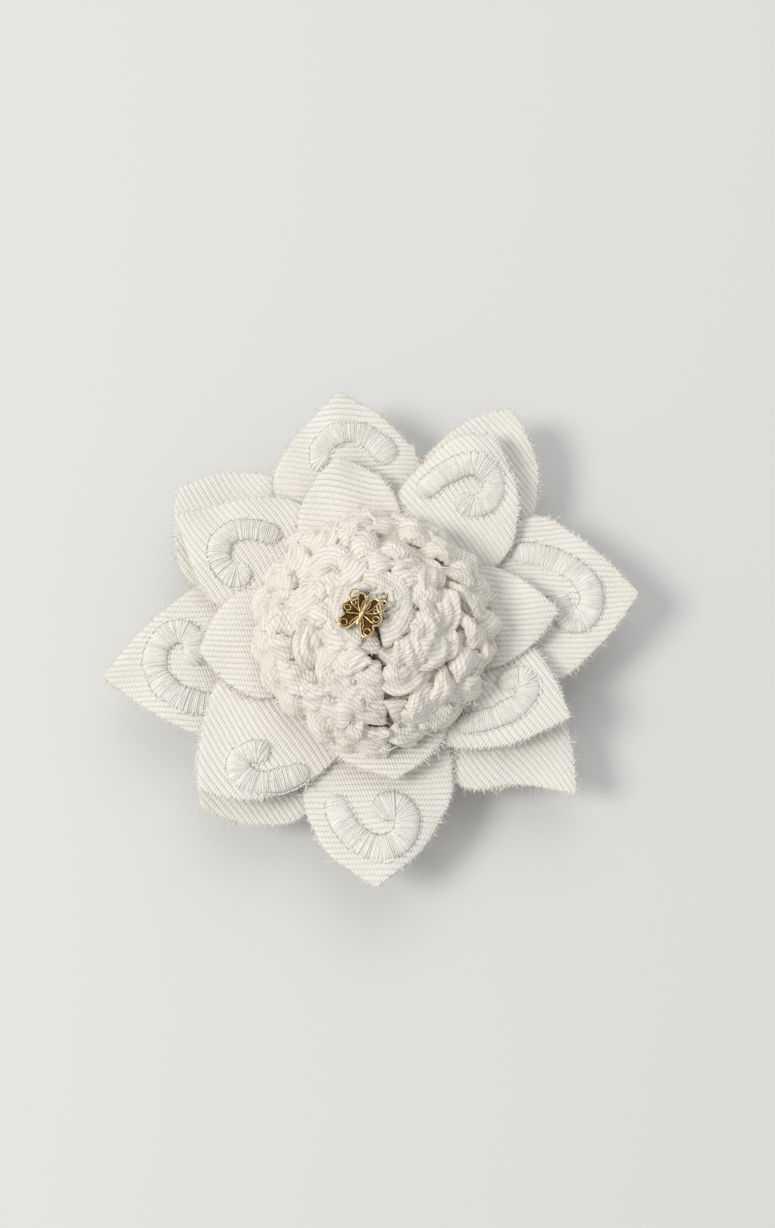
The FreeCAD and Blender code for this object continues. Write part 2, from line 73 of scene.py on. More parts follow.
def wobble(seed, wavelength, *axes):
    """Smooth random waves between about -1 and 1, the same each run."""
    draw = np.random.default_rng(seed)
    waves = 6
    total = 0.0
    for _ in range(waves):
        way = draw.normal(size=len(axes))
        way /= np.linalg.norm(way)
        step = TURN / (wavelength * draw.uniform(0.7, 1.6))
        place = sum(axis * share for axis, share in zip(axes, way))
        total = total + np.sin(step * place + draw.uniform(0, TURN))
    return total / math.sqrt(waves)


def smooth_step(value, low, high):
    """0 below low, 1 above high and an eased ramp between."""
    share = np.clip((value - low) / (high - low), 0, 1)
    return share * share * (3 - 2 * share)


def smooth_max(a, b, width):
    """The larger of two heights, blended over a width where they cross."""
    share = np.clip(0.5 + 0.5 * (a - b) / width, 0, 1)
    return b + (a - b) * share + width * share * (1 - share)


def blur_ring(loop, sigma):
    """A closed run of points smoothed by bells, whose widths in samples are given point by point."""
    reach = int(3 * sigma.max())
    offsets = np.arange(-reach, reach + 1)
    weight = np.exp(-0.5 * (offsets[None, :] / sigma[:, None]) ** 2)
    weight = weight / weight.sum(axis=1, keepdims=True)
    index = (np.arange(len(loop))[:, None] + offsets[None, :]) % len(loop)
    return np.einsum("ij,ijk->ik", weight, loop[index])


def run_lengths(points):
    """How far along a line each of its points is."""
    return np.concatenate([[0], np.cumsum(np.linalg.norm(np.diff(points, axis=0), axis=1))])


def even_spacing(points, step, closed=False):
    """A run of points placed again at even spacing along the same line."""
    run = np.vstack([points, points[:1]]) if closed else np.asarray(points, float)
    reach = run_lengths(run)
    at = np.linspace(0, reach[-1], max(2, int(round(reach[-1] / step))) + 1)
    if closed:
        at = at[:-1]
    return np.stack([np.interp(at, reach, run[:, axis]) for axis in range(run.shape[1])], axis=1)


def spline(controls, step):
    """A smooth curve through given points, sampled at even spacing."""
    p = np.asarray(controls, float)
    padded = np.vstack([2 * p[0] - p[1], p, 2 * p[-1] - p[-2]])
    t = np.linspace(0, 1, 24, endpoint=False)[:, None]
    runs = []
    for a, b, c, d in zip(padded, padded[1:], padded[2:], padded[3:]):
        runs.append(0.5 * (2 * b + (c - a) * t + (2 * a - 5 * b + 4 * c - d) * t ** 2
                           + (3 * b - a - 3 * c + d) * t ** 3))
    runs.append(p[-1:])
    return even_spacing(np.vstack(runs), step)


# ---------------------------------------------------------------- meshes

def new_object(name, points, faces, material, weave=None):
    """A smooth mesh object from points in millimetres. Weave holds each point's place across and
    along the cloth's ribs."""
    mesh = bpy.data.meshes.new(name)
    mesh.from_pydata((np.asarray(points) * MM).tolist(), [], [tuple(face) for face in faces])
    mesh.polygons.foreach_set("use_smooth", np.ones(len(mesh.polygons), bool))
    mesh.materials.append(material)
    if weave is not None:
        layer = mesh.attributes.new("weave", "FLOAT_VECTOR", "POINT")
        layer.data.foreach_set("vector", np.asarray(weave, np.float32).ravel())
    mesh.update()
    piece = bpy.data.objects.new(name, mesh)
    bpy.context.scene.collection.objects.link(piece)
    return piece


def mesh_piece(name, points, faces, material, slot, node=None, weave=None):
    """An object that rides on the flower and stands for a CAD node, if one is named."""
    piece = new_object(name, points, faces, material, weave)
    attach(piece, "flower")
    if node:
        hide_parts(node)
    return piece


def grid_faces(rows, columns, wrap=False):
    """Quads over a grid of points laid row by row; wrap joins the last column to the first."""
    row = np.arange(rows - 1)[:, None] * columns
    column = np.arange(columns if wrap else columns - 1)[None, :]
    after = (column + 1) % columns
    quads = [row + column, row + after, row + after + columns, row + column + columns]
    return np.stack(quads, axis=-1).reshape(-1, 4)


def capped_faces(rows, columns):
    """Quads round a grid that closes on itself, with a flat face at each end."""
    last = (rows - 1) * columns
    return (grid_faces(rows, columns, wrap=True).tolist()
            + [list(range(columns))[::-1], list(range(last, last + columns))])


def tubes(lines, radii, sides=5):
    """Closed tubes along many lines at once: lines are (count, steps, 3)."""
    lines = np.asarray(lines, float)
    count, steps, _ = lines.shape
    radii = np.broadcast_to(radii, (count, steps))[..., None]
    tangent = unit(np.gradient(lines, axis=1))
    side = unit(np.cross(tangent, [0.02, 0.03, 1.0]))
    lift = np.cross(side, tangent)
    turn = np.linspace(0, TURN, sides, endpoint=False)[:, None]
    ring = np.cos(turn) * side[:, :, None] + np.sin(turn) * lift[:, :, None]
    points = lines[:, :, None, :] + radii[..., None] * ring
    offsets = (np.arange(count) * steps * sides)[:, None, None]
    faces = (grid_faces(steps, sides, wrap=True)[None] + offsets).reshape(-1, 4).tolist()
    near = np.arange(sides)[::-1]
    far = np.arange(sides) + (steps - 1) * sides
    for start in offsets.ravel():
        faces += [(near + start).tolist(), (far + start).tolist()]
    return points.reshape(-1, 3), faces


def hairs(start, way, length, sway, radius):
    """Fine fibres that leave their starts one way and bend another."""
    share = np.linspace(0, 1, 4)[:, None]
    length = length[:, None, None]
    return tubes(start[:, None] + share * length * way[:, None]
                 + share ** 2 * length * sway[:, None], radius, sides=3)


def joined(parts):
    """Several (points, faces) pairs as one."""
    points, faces, offset = [], [], 0
    for some_points, some_faces in parts:
        points.append(some_points)
        faces.extend([[index + offset for index in face] for face in some_faces])
        offset += len(some_points)
    return np.vstack(points), faces


def ball_grid(rings, sides):
    """The slopes from the top and the turns round the middle of a ball's grid of points."""
    slope = np.linspace(0.02, math.pi - 0.02, rings)[:, None]
    return slope, np.linspace(0, TURN, sides, endpoint=False)[None, :]


def ball_mesh(centre, radius, turn, z):
    """A closed rounded form from the radius and height at each place of a ball's grid."""
    points = np.stack([centre[0] + radius * np.cos(turn), centre[1] + radius * np.sin(turn),
                       z * np.ones_like(turn)], axis=-1)
    faces = capped_faces(*points.shape[:2])
    return points.reshape(-1, 3), [face[::-1] for face in faces]


# ---------------------------------------------------------------- petals

CLOTH = 0.9                 # thickness
WALE = 1.15                 # spacing of the twill's diagonal ribs
WALE_HIGH = 0.30
TIP_RISE = 1.3              # how far every petal's tip cups upward
EDGE_STEP = 0.28            # between points along a cut edge
FRAY_STEP = 0.34            # between yarn ends along a cut edge
FINE_FIBRE = 0.028          # the radius of a single fibre

# Each petal: the cut edge's right shoulder, right middle, tip, left middle and left shoulder as
# seen from the centre, then how much its tip lifts and how much its sides drop.
LAYERS = {
    "base_petals": {"notch": 20.0, "ribs": 126.0, "petals": (
        ((34.4, 24.5), (36.0, 36.5), (30.2, 49.4), (20.2, 47.3), (10.5, 38.0), 0.5, 1.6),
        ((-22.0, 35.0), (-32.0, 35.2), (-41.4, 31.2), (-42.0, 22.0), (-39.6, 11.5), -0.5, 0.8),
        ((-34.8, -19.0), (-35.4, -28.0), (-34.0, -36.4), (-24.5, -40.3), (-14.5, -39.8), -1.6, 1.0),
        ((19.5, -33.5), (29.5, -31.4), (41.0, -34.2), (40.8, -25.5), (39.0, -17.0), -0.8, 1.2))},
    "outer_petals": {"notch": 19.0, "ribs": 1.0, "petals": (
        ((39.0, -11.0), (48.9, -1.6), (55.4, 7.3), (46.9, 16.6), (36.0, 25.6), 0.8, 1.4),
        ((10.6, 38.0), (2.7, 47.0), (-7.1, 52.4), (-15.3, 44.3), (-21.6, 33.5), 1.0, 1.6),
        ((-36.5, 10.0), (-46.4, 0.5), (-54.6, -10.2), (-44.5, -17.6), (-33.0, -23.2), -0.6, 1.2),
        ((-13.8, -36.0), (-8.9, -46.0), (1.2, -52.8), (10.6, -45.2), (16.7, -34.0), 0.4, 1.6))},
    "middle_petals": {"notch": 18.5, "ribs": 124.0, "petals": (
        ((29.8, 17.5), (31.0, 28.5), (26.2, 41.2), (17.0, 40.9), (9.0, 34.0), 1.8, 1.6),
        ((-17.5, 28.8), (-28.0, 27.2), (-41.0, 23.4), (-38.0, 15.5), (-34.0, 5.5), 1.2, 1.4),
        ((-31.6, -11.5), (-34.0, -22.5), (-33.9, -34.3), (-23.0, -36.4), (-11.5, -31.8), 0.8, 1.6),
        ((17.0, -25.5), (28.0, -25.0), (39.9, -19.6), (36.6, -10.6), (31.5, -2.5), 1.6, 1.8))},
    "collar_petals": {"notch": 15.0, "ribs": 178.0, "petals": (
        ((26.2, -9.2), (33.0, -4.5), (38.2, 2.6), (32.7, 7.8), (26.0, 12.9), 0.8, 1.2),
        ((4.8, 29.4), (0.5, 33.2), (-6.8, 36.2), (-12.2, 31.0), (-16.0, 23.2), 1.0, 1.0),
        ((-27.6, 7.3), (-32.3, 1.8), (-34.8, -6.0), (-29.8, -11.8), (-22.5, -16.2), 0.2, 1.2),
        ((-9.2, -25.5), (-2.5, -29.6), (5.1, -32.1), (11.4, -27.7), (16.0, -21.5), 0.0, 1.2))},
}


def layer_outline(layer):
    """The cut edge of a layer, anticlockwise, crisp at the tips and round everywhere else."""
    petals = layer["petals"]
    corners, crisp = [], []
    for index, (right, right_middle, tip, left_middle, left, *_) in enumerate(petals):
        following = petals[(index + 1) % len(petals)][0]
        notch = unit(np.add(unit(np.array(left)), unit(np.array(following)))) * layer["notch"]
        corners += [right, right_middle, tip, left_middle, left, tuple(notch)]
        crisp += [0, 0.4, 1, 0.4, 0, 0]
    fine = even_spacing(np.column_stack([corners, crisp]), EDGE_STEP, closed=True)
    round_width, crisp_width = 9.0, 2.5
    width = round_width - (round_width - crisp_width) * smooth_step(fine[:, 2], 0.75, 1.0)
    return even_spacing(blur_ring(fine, width)[:, :2], EDGE_STEP, closed=True)


def inside(points, loop):
    """Which points lie inside a closed loop."""
    x, y = points[:, 0], points[:, 1]
    result = np.zeros(len(points), bool)
    for (ax, ay), (bx, by) in zip(loop, np.roll(loop, -1, axis=0)):
        crosses = (ay > y) != (by > y)
        if crosses.any():
            result ^= crosses & (x < ax + (y - ay) * (bx - ax) / (by - ay))
    return result


def nearest_tree(points):
    """A search tree over points in plan."""
    tree = KDTree(len(points))
    for index, (x, y) in enumerate(points):
        tree.insert((x, y, 0), index)
    tree.balance()
    return tree


def edge_distance(points, loop):
    """Distance from each point to the nearest sample of a loop."""
    tree = nearest_tree(loop)
    return np.array([tree.find((x, y, 0))[2] for x, y in points])


def cloth_form(layer, x, y):
    """How far the middle of the cloth stands above its floor before it meets other cloth."""
    rise = np.zeros_like(x)
    for number, (right, _, tip, _, left, lift, drop) in enumerate(layer["petals"]):
        length = math.hypot(*tip)
        along = np.array(tip) / length
        out = x * along[0] + y * along[1]
        across = -x * along[1] + y * along[0]
        near = smooth_step(out - 0.9 * np.abs(across), -4, 10)
        reach = smooth_step(out, 14, length)
        half = math.dist(right, left) / 2
        cup = (lift + TIP_RISE) * reach ** 1.4 - drop * reach * (across / half) ** 2
        rise += near * (cup + reach * 0.55 * wobble(number + 11, 15, out, across))
    return rise + 0.25 * wobble(7, 14, x, y) * smooth_step(np.hypot(x, y), 12, 30)


class HeightMap:
    """Heights over the flower on a square grid, for laying one thing on another."""

    def __init__(self, reach=62.0, step=0.25):
        self.reach, self.step = reach, step
        self.count = int(2 * reach / step) + 1
        line = np.linspace(-reach, reach, self.count)
        self.x, self.y = np.meshgrid(line, line, indexing="ij")
        self.z = np.full(self.x.shape, -50.0)

    def raise_to(self, places, heights):
        self.z[places] = np.maximum(self.z[places], heights)

    def spread(self, radius):
        """Heights widened by a radius, so that edges are covered too."""
        reach = int(round(radius / self.step))
        widened = self.z.copy()
        for shift in np.ndindex(2 * reach + 1, 2 * reach + 1):
            di, dj = shift[0] - reach, shift[1] - reach
            if di * di + dj * dj <= reach * reach:
                widened = np.maximum(widened, np.roll(self.z, (di, dj), axis=(0, 1)))
        return widened

    def sample(self, heights, x, y):
        """Heights at any places, blended between the grid's own."""
        i = np.clip((np.asarray(x) + self.reach) / self.step, 0, self.count - 1.001)
        j = np.clip((np.asarray(y) + self.reach) / self.step, 0, self.count - 1.001)
        i0, j0 = i.astype(int), j.astype(int)
        fi, fj = i - i0, j - j0
        near = heights[i0, j0] * (1 - fj) + heights[i0, j0 + 1] * fj
        far = heights[i0 + 1, j0] * (1 - fj) + heights[i0 + 1, j0 + 1] * fj
        return near * (1 - fi) + far * fi


def blurred(heights, cells):
    """A height grid smoothed by a bell, one axis after the other."""
    offsets = np.arange(-3 * cells, 3 * cells + 1)
    weight = np.exp(-0.5 * (offsets / cells) ** 2)
    weight /= weight.sum()
    for axis in (0, 1):
        heights = sum(w * np.roll(heights, o, axis=axis) for o, w in zip(offsets, weight))
    return heights


pile = HeightMap()


def layer_height(name, below):
    """A function that gives the height of a layer's middle plane, laid on what is below."""
    layer = LAYERS[name]
    floor = node_box(name)[0][2] + CLOTH / 2

    def height(x, y):
        wanted = floor + cloth_form(layer, x, y)
        if below is None:
            return wanted
        return smooth_max(wanted, pile.sample(below, x, y) + CLOTH / 2 + 0.12, 0.5)
    return height


def wale_shift(x, y):
    """How far the ribs stray from straight lines."""
    return 0.45 * wobble(31, 26, x, y)


def rib_profile(place):
    """A rib's round top and the sharp valley beside it, for a place counted in ribs."""
    return np.abs(np.sin(math.pi * place)) ** 0.8 - 0.6


def ribbed_grid(ribs, reach):
    """Points that follow the twill's ribs, close together where the valleys are."""
    turn = math.radians(ribs)
    along = np.array([math.cos(turn), math.sin(turn)])
    aside = np.array([-along[1], along[0]])
    diagonal = reach * 1.45
    count = int(diagonal / WALE)
    place = (np.arange(-count, count)[:, None] + np.array([0, 0.1, 0.27, 0.5, 0.73, 0.9])).ravel()
    step = 0.8
    across, forward = np.meshgrid(place * WALE, np.arange(-diagonal, diagonal, step),
                                  indexing="ij")
    forward = forward + (np.arange(len(place)) % 2)[:, None] * step / 2
    forward_part = forward.reshape(-1, 1) * along
    points = across.reshape(-1, 1) * aside + forward_part
    for _ in range(2):
        shift = wale_shift(points[:, 0], points[:, 1])
        points = (across.ravel() - shift)[:, None] * aside + forward_part
    return points, along, aside


def triangulated(loop, points):
    """A cut shape as triangles over its edge and inner points, and where its edge points went."""
    count = len(loop)
    ring = [(i, (i + 1) % count) for i in range(count)]
    found = delaunay_2d_cdt([Vector(p) for p in np.vstack([loop, points])], ring, [], 1, 1e-4)
    flat = np.array([tuple(v) for v in found[0]])
    faces = np.array([face for face in found[2] if len(face) == 3])
    rim = np.full(count, -1)
    for index, sources in enumerate(found[3]):
        for source in sources:
            if source < count:
                rim[source] = index
    return flat, faces, rim


def closed_sheet(flat, faces, rim, top, bottom):
    """A closed sheet between two heights over a triangulated shape."""
    size = len(flat)
    after = np.roll(rim, -1)
    sides = np.column_stack([rim, rim + size, after + size, after]).tolist()
    points = np.vstack([np.column_stack([flat, top]), np.column_stack([flat, bottom])])
    return points, faces.tolist() + (faces[:, ::-1] + size).tolist() + sides


def ribbed_sheet(loop, ribs, height):
    """Twill cut to a loop: a closed sheet with ribs on both faces, and its weave places."""
    reach = np.abs(loop).max()
    points, along, aside = ribbed_grid(ribs, reach)
    points = points[np.abs(points).max(axis=1) < reach]
    points = points[inside(points, loop)]
    points = points[edge_distance(points, loop) > EDGE_STEP / 2]
    flat, faces, rim = triangulated(loop, points)
    x, y = flat[:, 0], flat[:, 1]
    middle = height(x, y)
    place = (flat @ aside + wale_shift(x, y)) / WALE
    relief = WALE_HIGH * rib_profile(place)
    thin = 0.6 + 0.4 * smooth_step(edge_distance(flat, loop), 0, 1.0)
    points, faces = closed_sheet(flat, faces, rim, middle + (CLOTH / 2 + relief) * thin,
                                 middle - (CLOTH / 2 - relief * 0.8) * thin)
    weave = np.column_stack([place, flat @ along, np.ones(len(flat))])
    return points, faces, np.vstack([weave, weave])


def fringe_mesh(loop, height, seed):
    """Frayed yarn ends round a cut edge, with a few long pulled threads."""
    draw = np.random.default_rng(seed)
    spots = even_spacing(loop, FRAY_STEP, closed=True)
    tangent = unit(np.roll(spots, -1, axis=0) - np.roll(spots, 1, axis=0))
    outward = np.column_stack([tangent[:, 1], -tangent[:, 0]])
    count, steps = len(spots), 6
    fray = 0.55 + 0.45 * wobble(seed, 9, spots[:, 0], spots[:, 1])
    length = (0.25 + draw.gamma(2.0, 0.22, count)) * np.clip(fray, 0.3, 1.3)
    pulled = draw.random(count) < 0.012
    length = length + pulled * draw.uniform(0.6, 1.8, count)
    lean = draw.normal(0, 0.45, count)
    way = unit(outward + lean[:, None] * tangent)
    share = np.linspace(0, 1, steps)
    bend = draw.normal(0, 0.35, count)
    inset = 0.5
    reach = (share[None, :] * (length + inset)[:, None] - inset)[..., None]
    curl = (bend * length)[:, None, None] * (share ** 2)[None, :, None]
    plan = spots[:, None, :] + reach * way[:, None, :] + curl * tangent[:, None, :]
    z = height(spots[:, 0], spots[:, 1])[:, None] + draw.uniform(-0.25, 0.3, count)[:, None]
    z = z + (draw.normal(0, 0.3, count) * length)[:, None] * share[None, :] ** 2
    lines = np.concatenate([plan, z[..., None]], axis=-1)
    radius = draw.uniform(0.11, 0.19, count)[:, None] * (1 - 0.45 * share ** 3)[None, :]
    source = np.repeat(np.arange(count), 2)
    number = len(source)
    start = lines[source, draw.integers(2, steps, number)]
    way = unit(np.column_stack([outward[source], draw.normal(0, 0.3, number)])
               + draw.normal(0, 0.5, (number, 3)))
    fuzz = hairs(start, way, draw.gamma(2.0, 0.35, number), draw.normal(0, 0.3, (number, 3)),
                 FINE_FIBRE)
    return joined([tubes(lines, radius), fuzz])


# ---------------------------------------------------------------- materials

YARN_PITCH = 0.62           # between the slanting yarns on a rib


class Surface:
    """A new material's node graph, round one shader."""

    def __init__(self, name):
        self.material = bpy.data.materials.new(name)
        self.material.use_nodes = True
        self.nodes, self.links = self.material.node_tree.nodes, self.material.node_tree.links
        self.nodes.clear()
        output = self.nodes.new("ShaderNodeOutputMaterial")
        self.shader = self.nodes.new("ShaderNodeBsdfPrincipled")
        self.links.new(self.shader.outputs[0], output.inputs[0])

    def feed(self, socket, given):
        """Link a socket, or set it to a number or a colour."""
        if isinstance(given, bpy.types.NodeSocket):
            self.links.new(given, socket)
        else:
            socket.default_value = (*given, 1) if isinstance(given, tuple) else given

    def math(self, operation, *inputs):
        node = self.nodes.new("ShaderNodeMath")
        node.operation = operation
        for socket, given in zip(node.inputs, inputs):
            self.feed(socket, given)
        return node.outputs[0]

    def limited(self, value):
        return self.math("MAXIMUM", self.math("MINIMUM", value, 1.0), 0.0)

    def noise(self, scale, detail=3.0):
        where = self.nodes.new("ShaderNodeTexCoord")
        noise = self.nodes.new("ShaderNodeTexNoise")
        noise.inputs["Scale"].default_value = scale
        noise.inputs["Detail"].default_value = detail
        self.links.new(where.outputs["Object"], noise.inputs["Vector"])
        return noise.outputs["Fac"]

    def mix(self, factor, first, second):
        mix = self.nodes.new("ShaderNodeMix")
        mix.data_type = "RGBA"
        for name, given in (("A", first), ("B", second), ("Factor", factor)):
            self.feed(mix.inputs[name], given)
        return mix.outputs["Result"]

    def bump(self, height, distance, strength):
        bump = self.nodes.new("ShaderNodeBump")
        bump.inputs["Strength"].default_value = strength
        bump.inputs["Distance"].default_value = distance
        self.links.new(height, bump.inputs["Height"])
        self.links.new(bump.outputs["Normal"], self.shader.inputs["Normal"])


def fabric_material(name, light, dark, grain=2600, valley=None, roughness=0.92):
    """Matte cloth, mottled, with fibre grain. Where a valley colour is given, the weave attribute
    adds the twill's ribs: painted shade in their valleys, patchy in strength, and slanting yarns on
    top."""
    look = Surface(name)
    patches = look.noise(110.0)
    fibres = look.noise(grain, 4.0)
    level = look.math("MULTIPLY_ADD", patches, 1.5, -0.45)
    level = look.math("MULTIPLY_ADD", fibres, 0.7, level)
    colour = look.mix(look.limited(level), dark, light)
    height = fibres
    if valley:
        weave = look.nodes.new("ShaderNodeAttribute")
        weave.attribute_name = "weave"
        split = look.nodes.new("ShaderNodeSeparateXYZ")
        look.links.new(weave.outputs["Vector"], split.inputs[0])
        across, along = split.outputs[0], split.outputs[1]
        # Painted shade: the valleys between the ribs are darkened towards the valley colour, more in
        # some patches than in others.
        rib = look.math("ABSOLUTE", look.math("SINE", look.math("MULTIPLY", across, math.pi)))
        valley_shade_mask = look.math("POWER", look.math("SUBTRACT", 1.0, rib), 2.2)
        shade_patchiness = look.math("MULTIPLY_ADD", patches, 1.1, 0.02)
        colour = look.mix(look.math("MULTIPLY", valley_shade_mask, shade_patchiness), colour, valley)
        slant = look.math("MULTIPLY_ADD", along, TURN / YARN_PITCH,
                          look.math("MULTIPLY", across, 4.4))
        height = look.math("MULTIPLY_ADD", look.math("SINE", slant), 0.35, fibres)
    shader = look.shader
    look.links.new(colour, shader.inputs["Base Color"])
    look.bump(height, 0.00016, 0.8)
    shader.inputs["Roughness"].default_value = roughness
    shader.inputs["Sheen Weight"].default_value = 0.15
    shader.inputs["Sheen Roughness"].default_value = 0.5
    shader.inputs["Specular IOR Level"].default_value = 0.2
    return look.material


def metal_material(name, colour, dark, roughness):
    """Metal with slightly uneven polish and tarnish."""
    look = Surface(name)
    tarnish = look.noise(900, 5.0)
    factor = look.limited(look.math("MULTIPLY_ADD", tarnish, 2.0, -0.75))
    shader = look.shader
    look.links.new(look.mix(factor, colour, dark), shader.inputs["Base Color"])
    rough = look.math("MULTIPLY_ADD", tarnish, 0.25, roughness - 0.12)
    look.links.new(rough, shader.inputs["Roughness"])
    shader.inputs["Metallic"].default_value = 1.0
    look.bump(tarnish, 0.00003, 0.5)
    return look.material


# Painted shade for the valleys between the twill's ribs, on the petals and on the keepers.
RIB_VALLEY_SHADE = (0.58, 0.535, 0.44)
TWILL = fabric_material("twill", (0.935, 0.91, 0.845), (0.85, 0.82, 0.745), valley=RIB_VALLEY_SHADE)
YARN = fabric_material("cut_yarn", (0.91, 0.89, 0.83), (0.80, 0.775, 0.71))
THREAD = fabric_material("embroidery_thread", (0.94, 0.92, 0.862), (0.84, 0.815, 0.75), 4000,
                         roughness=0.75)
# The rosette's cloth also gets painted shade in its rib valleys.
ROSETTE_CLOTH = fabric_material("rosette_cotton", (0.92, 0.89, 0.81), (0.80, 0.76, 0.67),
                                valley=(0.56, 0.50, 0.39))
ROSETTE_YARN = fabric_material("rosette_yarn", (0.93, 0.91, 0.85), (0.82, 0.79, 0.72))
# The wad is coloured darker than the cloth: painted shade where it shows through the gaps in the
# plait.
WAD_PAINTED_SHADE = fabric_material("wad", (0.74, 0.70, 0.62), (0.55, 0.51, 0.43))
FELT = fabric_material("felt", (0.83, 0.82, 0.79), (0.70, 0.69, 0.66), 1500)
KEEPER = fabric_material("keeper_cloth", (0.84, 0.82, 0.77), (0.74, 0.72, 0.66), valley=RIB_VALLEY_SHADE)
SEWING = fabric_material("sewing_thread", (0.88, 0.87, 0.83), (0.78, 0.77, 0.72), 5000)
GOLD = metal_material("antique_gold", (0.88, 0.69, 0.40), (0.42, 0.26, 0.09), 0.24)
DARK_GOLD = metal_material("gold_recess", (0.10, 0.052, 0.014), (0.05, 0.025, 0.008), 0.45)
STEEL = metal_material("clip_steel", (0.72, 0.72, 0.71), (0.60, 0.60, 0.60), 0.22)
WIRE = metal_material("spring_wire", (0.55, 0.55, 0.55), (0.42, 0.42, 0.42), 0.32)


# ---------------------------------------------------------------- embroidery

# Each scroll: half its band's width, the half width of its first and last ends, and points along
# its middle.
SCROLLS = {
    "outer_petals": {
        "outer_scroll_back": (2.45, 2.9, 2.3, (
            (4.0, 36.7), (1.9, 40.1), (-1.1, 42.5), (-4.7, 43.1), (-8.1, 42.3), (-10.6, 39.9),
            (-11.0, 37.1), (-9.5, 35.8))),
        "outer_scroll_right": (2.45, 2.4, 2.5, (
            (29.4, 16.2), (33.8, 16.3), (38.3, 14.8), (42.6, 11.8), (45.0, 8.1), (45.1, 4.4),
            (43.0, 1.6), (40.1, 2.1), (38.6, 5.1), (37.9, 7.7))),
        "outer_scroll_front": (2.45, 2.4, 2.9, (
            (-7.3, -34.5), (-6.4, -37.8), (-4.6, -41.1), (-1.8, -43.7), (1.8, -45.0),
            (5.1, -44.1), (6.9, -41.8), (7.1, -38.8), (5.4, -36.8), (3.1, -37.0), (0.9, -38.2))),
        "outer_scroll_left": (2.4, 2.3, 2.4, (
            (-28.3, -15.9), (-33.6, -15.8), (-38.7, -14.5), (-42.6, -11.2), (-44.1, -7.0),
            (-43.0, -2.9), (-39.8, -0.5), (-36.6, -1.9), (-36.1, -5.1), (-37.5, -7.3))),
    },
    "middle_petals": {
        "middle_scroll_back_right": (2.35, 2.3, 2.3, (
            (10.1, 28.5), (13.5, 31.5), (17.3, 33.7), (21.3, 34.5), (24.6, 32.9), (25.6, 29.6),
            (23.7, 26.4), (20.5, 25.9), (18.2, 28.1))),
        "middle_scroll_back_left": (2.25, 2.2, 2.7, (
            (-19.0, 19.1), (-23.1, 20.3), (-27.3, 20.4), (-30.3, 18.7), (-31.5, 15.5),
            (-30.4, 12.2), (-27.6, 10.8), (-25.6, 12.8))),
        "middle_scroll_front_left": (2.2, 2.2, 2.4, (
            (-12.5, -29.6), (-16.0, -31.2), (-19.6, -32.2), (-23.0, -32.1), (-25.9, -30.4),
            (-25.9, -27.6), (-23.0, -26.2), (-20.2, -27.0))),
        "middle_scroll_front_right": (2.2, 2.1, 2.1, (
            (17.3, -20.7), (21.3, -20.1), (25.7, -19.0), (29.6, -16.8), (31.6, -13.7),
            (30.4, -11.2), (27.9, -11.6), (26.6, -13.7))),
    },
}
STITCH_STEP = 0.40          # between threads along a band
STITCH = 0.19               # a thread's radius
BAND_HIGH = 0.85


def band_path(scroll):
    """The middle line of a scroll's band, its half width at each place and its left direction."""
    half, start_half, end_half, points = scroll
    line = spline(points, STITCH_STEP / 2)[:, :2]
    run = np.arange(len(line)) * STITCH_STEP / 2
    width = half * np.ones_like(run)
    caps = 1.0
    ends = (run, start_half, 2.2, 0.3), (run[-1] - run, end_half, 2.0, 0.12)
    for past, end, taper, least in ends:
        width += (end - half) * (1 - smooth_step(past, end, taper * end))
        cap = np.sqrt(np.clip(1 - (np.clip(end - past, 0, None) / end) ** 2, 0, 1))
        caps = caps * np.maximum(cap, least)
    width = width * caps * (1 + 0.05 * wobble(int(run[-1] * 100), 6.0, run))
    tangent = unit(np.gradient(line, axis=0))
    return line, width, np.column_stack([-tangent[:, 1], tangent[:, 0]])


def surface_under(height, x, y):
    return height(x, y) + CLOTH / 2


def arch(share, tall):
    """The height of a padded band across its width, share running from -1 to 1."""
    return tall * (1 - np.abs(share) ** 2.6) ** 0.75


